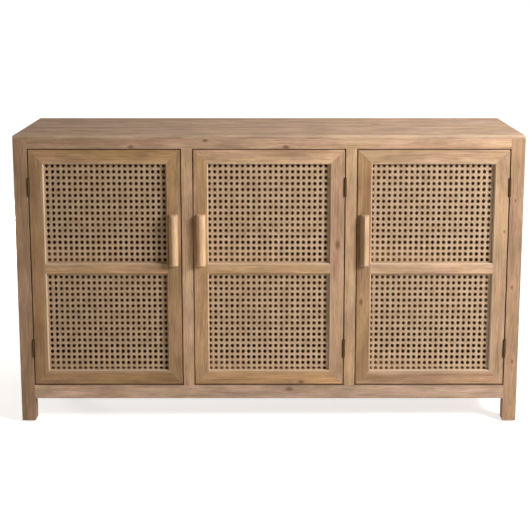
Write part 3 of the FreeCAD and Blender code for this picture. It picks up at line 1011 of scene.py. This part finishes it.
# %% Cane skin
PATCHES_BETWEEN = (0.35, 0.7)
PATCH_DETAIL = 3.0
PATCH_ROUGHNESS = 0.16
TOOTH_DETAIL = 2.0
TOOTH_ROUGHNESS = 0.12
CANE_PALE = Vector((0.737, 0.517, 0.33))
CANE_WORN = Vector((0.586, 0.384, 0.23))


def build_mottle_group():
    """Patches and a fine tooth: what handling and age leave on a plain surface."""
    inputs = [
        ("Vector", VECTOR, ORIGIN),
        ("Color", COLOUR, WHITE),
        ("Worn Color", COLOUR, WHITE),
        ("Patch Size", NUMBER, 0.02),
        ("Tooth Size", NUMBER, 0.0008),
        ("Wear", NUMBER, 0.5),
        ("Roughness", NUMBER, 0.5),
    ]
    group, given, result = new_group("mottle", inputs)
    patch_scale = maths(group, "DIVIDE", 1.0, given["Patch Size"])
    tooth_scale = maths(group, "DIVIDE", 1.0, given["Tooth Size"])
    patches = span(group, noise(group, given["Vector"], patch_scale, PATCH_DETAIL), *PATCHES_BETWEEN)
    tooth = noise(group, given["Vector"], tooth_scale, TOOTH_DETAIL)
    worn_share = maths(group, "MULTIPLY", patches, given["Wear"])
    rough = given["Roughness"]
    for mark, share in ((patches, PATCH_ROUGHNESS), (tooth, TOOTH_ROUGHNESS)):
        rougher = maths(group, "MULTIPLY", maths(group, "SUBTRACT", mark, NOISE_MIDDLE), share)
        rough = maths(group, "ADD", rough, rougher, clamp=True)
    fill_inputs(
        group,
        result,
        {
            "Color": mix_colour(group, worn_share, given["Color"], given["Worn Color"]),
            "Roughness": rough,
            "Height": tooth,
        },
    )
    return group


mottle_group = build_mottle_group()


def mottled(name, colour, worn, patch, tooth, wear, roughness, relief, metallic=0.0):
    """A material on the mottle group."""
    material, tree, shader, place = new_material(name)
    values = {
        "Vector": place,
        "Color": (*colour, 1.0),
        "Worn Color": (*worn, 1.0),
        "Patch Size": patch,
        "Tooth Size": tooth,
        "Wear": wear,
        "Roughness": roughness,
    }
    wear_skin(tree, shader, mottle_group, values, relief)
    shader.inputs["Metallic"].default_value = metallic
    return material


def cane_skin(name, tone):
    """The skin of some strands of cane, paler or darker by a tone."""
    return mottled(
        name,
        CANE_PALE * tone,
        CANE_WORN * tone,
        patch=30.0 * MM,
        tooth=0.9 * MM,
        wear=0.8,
        roughness=0.45,
        relief=0.06 * MM,
    )


print("mottle group with", len(mottle_group.nodes), "nodes")

# %% Cut a sheet of cane for each door
REBATE = 7.5 * MM
FIRST_ROW_DOWN = 5.5 * MM
FIRST_COLUMN_IN = {"left_door": 8.5 * MM, "centre_door": 3.0 * MM, "right_door": 2.0 * MM}
SHEET_TONE = {"left_door": 0.945, "centre_door": 1.03, "right_door": 0.92}
# Painted sheen: the pairs darker, and the diagonals that lie on top of them paler.
SHADED_PAIR_TONE = 0.9
LIT_DIAGONAL_TONE = 1.2
SPARE_REPEATS = 2
ROUND_ANGLE = 40


def cane_sheet(door):
    """The woven sheet of one door, cut to the size of its carpentry stand-in."""
    node = door + "_cane_sheet"
    low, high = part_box(node)
    hole_x = low.x + REBATE + FIRST_COLUMN_IN[door]
    hole_z = high.z - REBATE - FIRST_ROW_DOWN
    columns = math.ceil((high.x - low.x) / PITCH_X) + SPARE_REPEATS
    rows = math.ceil((high.z - low.z) / PITCH_Z) + SPARE_REPEATS
    columns_left = math.ceil((hole_x - low.x) / PITCH_X)
    rows_down = math.ceil((hole_z - low.z) / PITCH_Z)
    start_x = hole_x - (columns_left + 0.5) * PITCH_X
    start_z = hole_z - rows_down * PITCH_Z
    pair_skin = cane_skin(door + "_cane_pairs", SHADED_PAIR_TONE * SHEET_TONE[door])
    diagonal_skin = cane_skin(door + "_cane_diagonals", LIT_DIAGONAL_TONE * SHEET_TONE[door])
    piece = weave_repeat(Vector((start_x, (low.y + high.y) / 2, start_z)), pair_skin, diagonal_skin)
    for count, step in ((columns, (PITCH_X, 0.0, 0.0)), (rows, (0.0, 0.0, PITCH_Z))):
        finish_with(
            piece,
            "ARRAY",
            count=count,
            use_relative_offset=False,
            use_constant_offset=True,
            constant_offset_displace=step,
        )
    edit_all(piece)
    bpy.ops.mesh.remove_doubles(threshold=MERGE_REACH)
    for corner, outwards in ((low, -1), (high, 1)):
        for normal in ((outwards, 0, 0), (0, 0, outwards)):
            bpy.ops.mesh.select_all(action="SELECT")
            bpy.ops.mesh.bisect(plane_co=corner, plane_no=normal, use_fill=True, clear_outer=True)
    close_outwards()
    smooth(piece, ROUND_ANGLE)
    piece.name = door + "_woven_cane"
    seat(piece, door, "cane", node)
    return piece


for door in DOORS:
    sheet = cane_sheet(door)
    triangles = sum(len(face.vertices) - 2 for face in sheet.data.polygons)
    print(sheet.name, triangles, "triangles")

# %% [markdown]
# ## The pulls
# A pull is a bar with a half-round front, whose ends are rounded off towards the front. Its outline
# is a plane with two corners bevelled round. That ring is drawn up the door stop by stop, and near
# the ends each stop is made shallower, towards the door, and a little narrower. Each pull was shaped
# by hand, so one keeps more of a ridge than the others.

# %% Shape the pulls
NOSE_STEPS = 12
NOSE_SHARE = 0.98
END_ROUND = 9.0 * MM
CORNER_ROUND = 2.0 * MM
END_STEPS = 8
NOSE = {"left_door": 0.46, "centre_door": 0.5, "right_door": 0.34}
PULL_DEPTH = {"left_door": -0.03, "centre_door": -0.17, "right_door": 0.23}
PULL_STREAKS = 0.4
FIRST_PULL_SEED = 70
FRONT_REACH = 0.1 * MM


def end_stops():
    """How far from its end a pull's rings lie, and how much narrower and shallower they are there."""
    stops = []
    for step in range(END_STEPS + 1):
        turn = math.radians(90) * step / END_STEPS
        inwards = END_ROUND * (1 - math.cos(turn))
        short = max(1 - inwards / CORNER_ROUND, 0.0)
        narrower = CORNER_ROUND * (1 - math.sqrt(1 - short**2))
        stops.append((inwards, narrower, END_ROUND * (1 - math.sin(turn))))
    return stops


def bar_pull(door, seed):
    """One rounded bar on its door."""
    node = door + "_pull"
    low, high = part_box(node)
    middle = (low + high) / 2
    half_width = (high.x - low.x) / 2
    depth = high.y - low.y
    piece = begin(
        door + "_bar_pull",
        bpy.ops.mesh.primitive_plane_add,
        (middle.x, middle.y, low.z),
        (half_width * 2, depth, 1.0),
        size=1.0,
    )
    choose(piece, "EDGE", lambda place, along: place.y < low.y + FRONT_REACH)
    bpy.ops.mesh.bevel(
        offset=half_width * NOSE_SHARE, segments=NOSE_STEPS, profile=NOSE[door], affect="VERTICES"
    )
    bpy.ops.mesh.select_mode(type="VERT")
    bpy.ops.mesh.select_all(action="SELECT")
    bpy.ops.mesh.delete(type="ONLY_FACE")
    bpy.ops.mesh.select_all(action="SELECT")
    lower = [(low.z + inwards, *less) for inwards, *less in end_stops()]
    upper = [(high.z - inwards, *less) for inwards, *less in reversed(end_stops())]
    height, wide, deep = low.z, half_width, depth
    for stop_height, narrower, shallower in lower + upper:
        if stop_height > height:
            rise = (0.0, 0.0, stop_height - height)
            bpy.ops.mesh.extrude_region_move(TRANSFORM_OT_translate={"value": rise})
        sizes = ((half_width - narrower) / wide, (depth - shallower) / deep, 1.0)
        bpy.ops.transform.resize(value=sizes, center_override=(middle.x, high.y, stop_height))
        height, wide, deep = stop_height, half_width - narrower, depth - shallower
    bpy.ops.mesh.select_all(action="SELECT")
    bpy.ops.mesh.fill_holes(sides=0)
    close_outwards()
    smooth(piece, ROUND_ANGLE)
    grain = timber(node + "_grain", "Z", "pull", seed, depth=PULL_DEPTH[door], streaks=PULL_STREAKS)
    dress(piece, grain)
    seat(piece, door, "pull_wood", node)


for number, door in enumerate(DOORS):
    bar_pull(door, FIRST_PULL_SEED + number)
print("three pulls")

# %% [markdown]
# ## Butt hinges
# Each hinge is two leaves let into the wood, with knuckles that turn on a pin between them. A leaf
# starts as a plate. Cuts at the ends of the knuckles mark where its own tabs are drawn out to the
# front, and each tab carries a knuckle: a short tube, drawn out ring by ring from a circle as on a
# lathe, whose last ring is bridged to its first. The screws are made once and copied.

# %% Screws and their copies
UNTURNED = (0.0, 0.0, 0.0)
FACINGS = {
    "back": (math.radians(-90), 0.0, 0.0),
    "left": (0.0, math.radians(-90), 0.0),
    "right": (0.0, math.radians(90), 0.0),
}
FACES_SQUARE = 0.9
SCREW_SIDES = 14
SCREW_ANGLE = 30
RIM_SHARE = 0.4
SLOT_REACH_SHARE = 1.2
SLOT_HALF_SHARE = 0.12
SLOT_BED_SHARE = 0.55
CUTTER_DOMES = 3


def slotted_screw(name, radius, height, dome):
    """A screw head that faces up, with eased rim and one slot."""
    head = begin(
        name,
        bpy.ops.mesh.primitive_cylinder_add,
        (0.0, 0.0, height / 2),
        vertices=SCREW_SIDES,
        radius=radius,
        depth=height,
    )
    choose(head, "FACE", lambda centre, normal: normal.z > FACES_SQUARE)
    bpy.ops.mesh.inset(thickness=radius * RIM_SHARE)
    bpy.ops.transform.translate(value=(0.0, 0.0, dome))
    close_edit()
    slot_reach = radius * SLOT_REACH_SHARE
    slot_half = radius * SLOT_HALF_SHARE
    cutter = block(
        name + "_slot",
        (-slot_reach, -slot_half, height * SLOT_BED_SHARE),
        (slot_reach, slot_half, height + dome * CUTTER_DOMES),
    )
    finish_with(head, "BOOLEAN", object=cutter, operation="DIFFERENCE", solver="EXACT")
    discard(cutter)
    smooth(head, SCREW_ANGLE)
    return head


def facing(way, turn=0.0):
    """The rotation of a part made facing up, so that it faces another way, turned about its axis."""
    return (Euler(FACINGS[way]).to_matrix() @ Euler((0.0, 0.0, turn)).to_matrix()).to_euler()


def copies(source, name, places):
    """Copies a pattern to each place with its rotation, as one object."""
    made = []
    for point, rotation in places:
        take(source)
        bpy.ops.object.duplicate()
        copy = bpy.context.object
        copy.rotation_euler = rotation
        copy.location = point
        apply_place(copy)
        made.append(copy)
    return join(name, made)


leaf_screw = slotted_screw("leaf_screw", radius=2.6 * MM, height=0.4 * MM, dome=0.15 * MM)
pan_screw = slotted_screw("pan_screw", radius=3.6 * MM, height=1.1 * MM, dome=0.5 * MM)
print("screws with", len(leaf_screw.data.polygons), "and", len(pan_screw.data.polygons), "faces")

# %% Turned pieces
TURNED_SIDES = 24


def turned(name, profile, hollow=False):
    """A round piece on the Z axis, drawn out ring by ring from a circle, as a lathe would leave it.

    The profile is a list of radius and height. A hollow piece is closed from its last ring to its
    first one, and a solid piece by a face at each end.
    """
    radius, height = profile[0]
    piece = begin(
        name,
        bpy.ops.mesh.primitive_circle_add,
        (0.0, 0.0, height),
        vertices=TURNED_SIDES,
        radius=radius,
    )
    edit_all(piece)
    for next_radius, next_height in profile[1:]:
        rise = (0.0, 0.0, next_height - height)
        bpy.ops.mesh.extrude_region_move(TRANSFORM_OT_translate={"value": rise})
        widening = next_radius / radius
        bpy.ops.transform.resize(value=(widening, widening, 1.0))
        radius, height = next_radius, next_height
    if hollow:
        bpy.ops.mesh.select_all(action="DESELECT")
        bpy.ops.mesh.select_non_manifold()
        bpy.ops.mesh.bridge_edge_loops()
    else:
        bpy.ops.mesh.select_all(action="SELECT")
        bpy.ops.mesh.fill_holes(sides=0)
    close_outwards()
    smooth(piece)
    return piece


print("lathe with", TURNED_SIDES, "sides")

# %% [markdown]
# The hinges and their screws are bronze that has darkened with age. The other screws, the shelf pins
# and the plates of the catches are plated steel, and the catches and glides are dark plastic. A metal
# is one value of the shader, Metallic, and what makes it look used is uneven shine. The group that
# mottles the cane gives that too, with smaller patches, so one group serves all three.

# %% Metal and plastic
bronze = mottled(
    "antique_bronze",
    (0.05, 0.03, 0.014),
    (0.11, 0.068, 0.03),
    patch=6.0 * MM,
    tooth=0.5 * MM,
    wear=0.7,
    roughness=0.5,
    relief=0.03 * MM,
    metallic=1.0,
)
steel = mottled(
    "zinc_plated_steel",
    (0.55, 0.55, 0.54),
    (0.40, 0.40, 0.41),
    patch=5.0 * MM,
    tooth=0.4 * MM,
    wear=0.7,
    roughness=0.36,
    relief=0.02 * MM,
    metallic=1.0,
)
plastic = mottled(
    "dark_moulded_plastic",
    (0.045, 0.038, 0.033),
    (0.075, 0.066, 0.058),
    patch=8.0 * MM,
    tooth=0.7 * MM,
    wear=0.6,
    roughness=0.5,
    relief=0.05 * MM,
)
print("bronze, steel and plastic")

# %% Hinge sizes from the carpentry
HINGES_TO_A_DOOR = 2
KNUCKLE_COUNT = 5
KNUCKLE_RADIUS = 3.2 * MM
KNUCKLE_GAP = 0.3 * MM
PIN_RADIUS = 1.5 * MM
PIN_FIT = 0.97
PIN_HEAD_RADIUS = 2.35 * MM
LEAF_THICKNESS = 1.2 * MM
SOFT_RIM = 0.35 * MM
HINGE_SIDE = {"left_door": -1, "centre_door": 1, "right_door": 1}

pin_boxes = solids_of("hinge_pins")
leaf_low, leaf_high = solids_of("frame_hinge_leaves")[0]
hinge_height = leaf_high.z - leaf_low.z
pin_middle = (pin_boxes[0][0] + pin_boxes[0][1]) / 2
leaf_depth = leaf_high.y - pin_middle.y
leaf_from_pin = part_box("left_door_hinge_stile")[0].x - pin_middle.x
pin_length = pin_boxes[0][1].z - pin_boxes[0][0].z
knuckle_step = (hinge_height + KNUCKLE_GAP) / KNUCKLE_COUNT
hinge_places = {door: [] for door in DOORS}
for number, (low, high) in enumerate(pin_boxes):
    hinge_places[DOORS[number // HINGES_TO_A_DOOR]].append((low + high) / 2)
print(len(pin_boxes), "hinges,", round(hinge_height / MM, 1), "mm tall")


# %% One leaf of each kind
def hinge_leaf(name, own):
    """A leaf on the right of its pin, with the knuckles that are its own."""
    bottom = -hinge_height / 2
    leaf = block(
        name,
        (leaf_from_pin, KNUCKLE_RADIUS + KNUCKLE_GAP, bottom),
        (leaf_from_pin + LEAF_THICKNESS, leaf_depth, -bottom),
    )
    for index in range(1, KNUCKLE_COUNT):
        edit_all(leaf)
        cut_height = bottom + index * knuckle_step - KNUCKLE_GAP / 2
        bpy.ops.mesh.bisect(plane_co=(0.0, 0.0, cut_height), plane_no=(0.0, 0.0, 1.0))
        close_edit()
    choose(
        leaf,
        "FACE",
        lambda centre, normal: (
            normal.y < -FACES_SQUARE and int((centre.z - bottom) / knuckle_step) in own
        ),
    )
    bpy.ops.mesh.extrude_region_move(TRANSFORM_OT_translate={"value": (0.0, -PIN_RADIUS, 0.0)})
    close_edit()
    knuckle_length = knuckle_step - KNUCKLE_GAP
    knuckle = turned(
        name + "_knuckle",
        [
            (KNUCKLE_RADIUS - SOFT_RIM, 0.0),
            (KNUCKLE_RADIUS, SOFT_RIM),
            (KNUCKLE_RADIUS, knuckle_length - SOFT_RIM),
            (KNUCKLE_RADIUS - SOFT_RIM, knuckle_length),
            (PIN_RADIUS, knuckle_length),
            (PIN_RADIUS, 0.0),
        ],
        hollow=True,
    )
    places = [((0.0, 0.0, bottom + index * knuckle_step), UNTURNED) for index in own]
    knuckles = copies(knuckle, name + "_knuckles", places)
    discard(knuckle)
    return join(name, [leaf, knuckles])


frame_leaf = hinge_leaf("frame_leaf", range(0, KNUCKLE_COUNT, 2))
door_leaf = hinge_leaf("door_leaf", range(1, KNUCKLE_COUNT, 2))
print("leaves with", len(frame_leaf.data.polygons), "and", len(door_leaf.data.polygons), "faces")

# %% One pin and one set of leaf screws
HEAD_RIM = SOFT_RIM * 2
half_hinge_pin = [
    (PIN_RADIUS * PIN_FIT, hinge_height / 2),
    (PIN_HEAD_RADIUS, hinge_height / 2),
    (PIN_HEAD_RADIUS, pin_length / 2 - HEAD_RIM),
    (PIN_HEAD_RADIUS - HEAD_RIM, pin_length / 2),
]
lower_hinge_pin = [(radius, -height) for radius, height in reversed(half_hinge_pin)]
pin_pattern = turned("pin_pattern", lower_hinge_pin + half_hinge_pin)
# How far up the leaf and how far back from the pin each screw sits, and how far its slot is turned.
LEAF_SCREWS = (
    (-17.0 * MM, 8.0 * MM, math.radians(20)),
    (0.0 * MM, 12.5 * MM, math.radians(75)),
    (17.0 * MM, 8.0 * MM, math.radians(140)),
)
leaf_screws = copies(
    leaf_screw,
    "leaf_screws",
    [((leaf_from_pin, back, up), facing("left", turn)) for up, back, turn in LEAF_SCREWS],
)
print("pin with", len(pin_pattern.data.polygons), "faces")

# %% Hang the hinges
TURN_OVER = (0.0, math.radians(180), 0.0)


def leaf_places(door, side):
    """Where a door's hinges are, with the leaf turned over where it lies on the left of its pin."""
    rotation = UNTURNED if side > 0 else TURN_OVER
    return [(point, rotation) for point in hinge_places[door]]


frame_places = []
all_pins = []
for door in DOORS:
    frame_places += leaf_places(door, HINGE_SIDE[door])
    all_pins += leaf_places(door, 1)
    door_places = leaf_places(door, -HINGE_SIDE[door])
    door_hinges = copies(door_leaf, door + "_hinges", door_places)
    door_screws = copies(leaf_screws, door + "_hinge_screws", door_places)
    for piece in (door_hinges, door_screws):
        dress(piece, bronze)
    seat(door_hinges, door, "hinge_metal", door + "_hinge_leaves")
    seat(door_screws, door, "hinge_metal")
frame_hinges = copies(frame_leaf, "frame_hinges", frame_places)
frame_screws = copies(leaf_screws, "frame_hinge_screws", frame_places)
turned_pins = copies(pin_pattern, "turned_hinge_pins", all_pins)
for piece in (frame_hinges, frame_screws, turned_pins):
    dress(piece, bronze)
    smooth(piece)
seat(frame_hinges, "carcass", "hinge_metal", "frame_hinge_leaves")
seat(frame_screws, "carcass", "hinge_metal")
seat(turned_pins, "carcass", "hinge_metal", "hinge_pins")
discard(frame_leaf, door_leaf, pin_pattern, leaf_screws)
print(len(all_pins), "hinges hung")

# %% [markdown]
# ## Inside and underneath
# The fittings that only show when a door is open are still real pieces: pins that carry the shelves,
# magnetic catches with steel poles, the plates that they hold, the screws through the stiles into
# the pulls, and a glide under each leg so that it doesn't drink water from the floor.

# %% Catches
CATCH_EASE = 0.4 * MM
POLE_REACH = 0.95 * MM
catches = eased_copy("door_catches", "magnetic_catches", CATCH_EASE)
dress(catches, plastic, steel)
pole_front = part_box("door_catches")[0].y
for face in catches.data.polygons:
    if face.center.y < pole_front + POLE_REACH:
        face.material_index = 1
seat(catches, "carcass", "dark_plastic", "door_catches")
print("catches with", len(catches.data.polygons), "faces")

# %% Strike plates and the screws of plates and pulls
PLATE_EASE = 0.25 * MM
PLATE_SCREW_SHARE = 0.36
PLATE_SCREW_TURNS = (0.5, 1.9)
PULL_SCREW_INSET = 20.0 * MM
PULL_SCREW_TURNS = (0.3, 2.1)


def screw_pair(name, door, pattern, x, y, heights, turns):
    """A lower and an upper screw in the back of a door."""
    places = [((x, y, height), facing("back", turn)) for height, turn in zip(heights, turns)]
    pair = copies(pattern, name, places)
    dress(pair, steel)
    seat(pair, door, "steel")


for door in DOORS:
    node = door + "_strike_plate"
    plate = eased_copy(node, door + "_catch_plate", PLATE_EASE)
    dress(plate, steel)
    seat(plate, door, "steel", node)
    low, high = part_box(node)
    middle = (low + high) / 2
    lift = (high.z - low.z) * PLATE_SCREW_SHARE
    heights = (middle.z - lift, middle.z + lift)
    plate_screws = door + "_catch_plate_screws"
    screw_pair(plate_screws, door, leaf_screw, middle.x, high.y, heights, PLATE_SCREW_TURNS)
for door in DOORS:
    low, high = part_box(door + "_pull")
    middle_x = (low.x + high.x) / 2
    door_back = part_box(door + "_pull_stile")[1].y
    heights = (low.z + PULL_SCREW_INSET, high.z - PULL_SCREW_INSET)
    pull_screws = door + "_pull_screws"
    screw_pair(pull_screws, door, pan_screw, middle_x, door_back, heights, PULL_SCREW_TURNS)
print("three plates, and two screws for each plate and each pull")

# %% [markdown]
# The back is a thin board that is screwed on from behind. Its screws are countersunk, so that the
# sideboard can stand against a wall: cones are cut out of the board, and the heads sit in them just
# under its face.

# %% Countersink the back
SINK_DEPTH = 1.3 * MM
SINK_MOUTH = 5.59 * MM
SINK_FOOT = 2.7 * MM
SUNK_HEAD_SHARE = 1.15
SUNK_HEAD_HEIGHT = 0.5 * MM
SUNK_HEAD_DOME = 0.1 * MM
SLOT_TURN_STEP = 0.7
BOTTOM_ROW_UP = 12.0 * MM
TOP_ROW_DOWN = 19.0 * MM
POST_COLUMN_IN = 8.0 * MM
ROW_SCREWS = (-0.6, -0.36, -0.12, 0.12, 0.36, 0.6)
COLUMN_SCREWS = (0.28, 0.45, 0.62)

back_board = bpy.data.objects["back_panel_timber"]
low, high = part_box("back_panel")
rows = (low.z + BOTTOM_ROW_UP, high.z - TOP_ROW_DOWN)
columns = [low.x + POST_COLUMN_IN, high.x - POST_COLUMN_IN]
for wall in ("left_partition", "right_partition"):
    wall_low, wall_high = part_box(wall)
    columns.append((wall_low.x + wall_high.x) / 2)
sink_points = [(x, z) for z in rows for x in ROW_SCREWS]
sink_points += [(x, z) for x in columns for z in COLUMN_SCREWS]

sink = begin(
    "sink",
    bpy.ops.mesh.primitive_cone_add,
    vertices=SCREW_SIDES,
    radius1=SINK_FOOT,
    radius2=SINK_MOUTH,
    depth=SINK_DEPTH * 2,
)
sinks = copies(sink, "sinks", [((x, high.y, z), facing("back")) for x, z in sink_points])
finish_with(back_board, "BOOLEAN", object=sinks, operation="DIFFERENCE", solver="EXACT")
smooth_edges_only(back_board)
sunk_screw = slotted_screw("sunk_screw", SINK_FOOT * SUNK_HEAD_SHARE, SUNK_HEAD_HEIGHT, SUNK_HEAD_DOME)
sunk_places = [
    ((x, high.y - SINK_DEPTH, z), facing("back", SLOT_TURN_STEP * number))
    for number, (x, z) in enumerate(sink_points)
]
back_screws = copies(sunk_screw, "back_panel_screws", sunk_places)
dress(back_screws, steel)
seat(back_screws, "carcass", "steel")
discard(sink, sinks, sunk_screw)
print(len(sink_points), "sunk screws in the back")

# %% [markdown]
# The shelves lie on short steel pins with a groove round each half, and the legs stand on glides
# that are rounded underneath, so that they slide over a floor. Both kinds are round, so each is
# turned once and copied to the places that the carpentry gives.

# %% Shelf pins
GROOVE = 0.35 * MM
GROOVE_NEAR = 1.2 * MM
GROOVE_FAR = 2.4 * MM
PIN_END_RIM = 0.7 * MM
pin_solids = solids_of("shelf_pins")
pin_low, pin_high = pin_solids[0]
pin_radius = (pin_high.z - pin_low.z) / 2
pin_half = (pin_high.x - pin_low.x) / 2
half_pin = [
    (pin_radius - PIN_END_RIM, pin_half),
    (pin_radius, pin_half - PIN_END_RIM),
    (pin_radius, GROOVE_FAR + GROOVE),
    (pin_radius - GROOVE, GROOVE_FAR),
    (pin_radius - GROOVE, GROOVE_NEAR),
    (pin_radius, GROOVE_NEAR - GROOVE),
]
other_half = [(radius, -height) for radius, height in reversed(half_pin)]
shelf_pin = turned("shelf_pin", half_pin + other_half)
pin_places = [((low + high) / 2, facing("right")) for low, high in pin_solids]
round_pins = copies(shelf_pin, "turned_shelf_pins", pin_places)
dress(round_pins, steel)
seat(round_pins, "carcass", "steel", "shelf_pins")
print(len(pin_solids), "shelf pins")

# %% Foot glides
# Shares of the glide's radius and of its height.
GLIDE_SHAPE = ((0.5, 0.0), (0.8, 0.05), (0.94, 0.2), (1.0, 0.45), (1.0, 1.0))
glide_solids = solids_of("foot_glides")
glide_low, glide_high = glide_solids[0]
glide_radius = (glide_high.x - glide_low.x) / 2
glide_height = glide_high.z - glide_low.z
glide = turned("glide", [(glide_radius * wide, glide_height * up) for wide, up in GLIDE_SHAPE])
glide_places = []
for low, high in glide_solids:
    middle = (low + high) / 2
    glide_places.append(((middle.x, middle.y, low.z), UNTURNED))
round_glides = copies(glide, "moulded_foot_glides", glide_places)
dress(round_glides, plastic)
seat(round_glides, "carcass", "dark_plastic", "foot_glides")
discard(shelf_pin, glide, leaf_screw, pan_screw)
print(len(glide_solids), "glides")

# %% [markdown]
# ## Last look
# The view transform is set to Standard, so that colours come out as they were written, and the box
# of the dressed model is printed, as the box of the carpentry was at the start.

# %% Finish
bpy.context.scene.view_settings.view_transform = "Standard"
low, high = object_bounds()
print("dressed box from", tuple(low), "to", tuple(high))
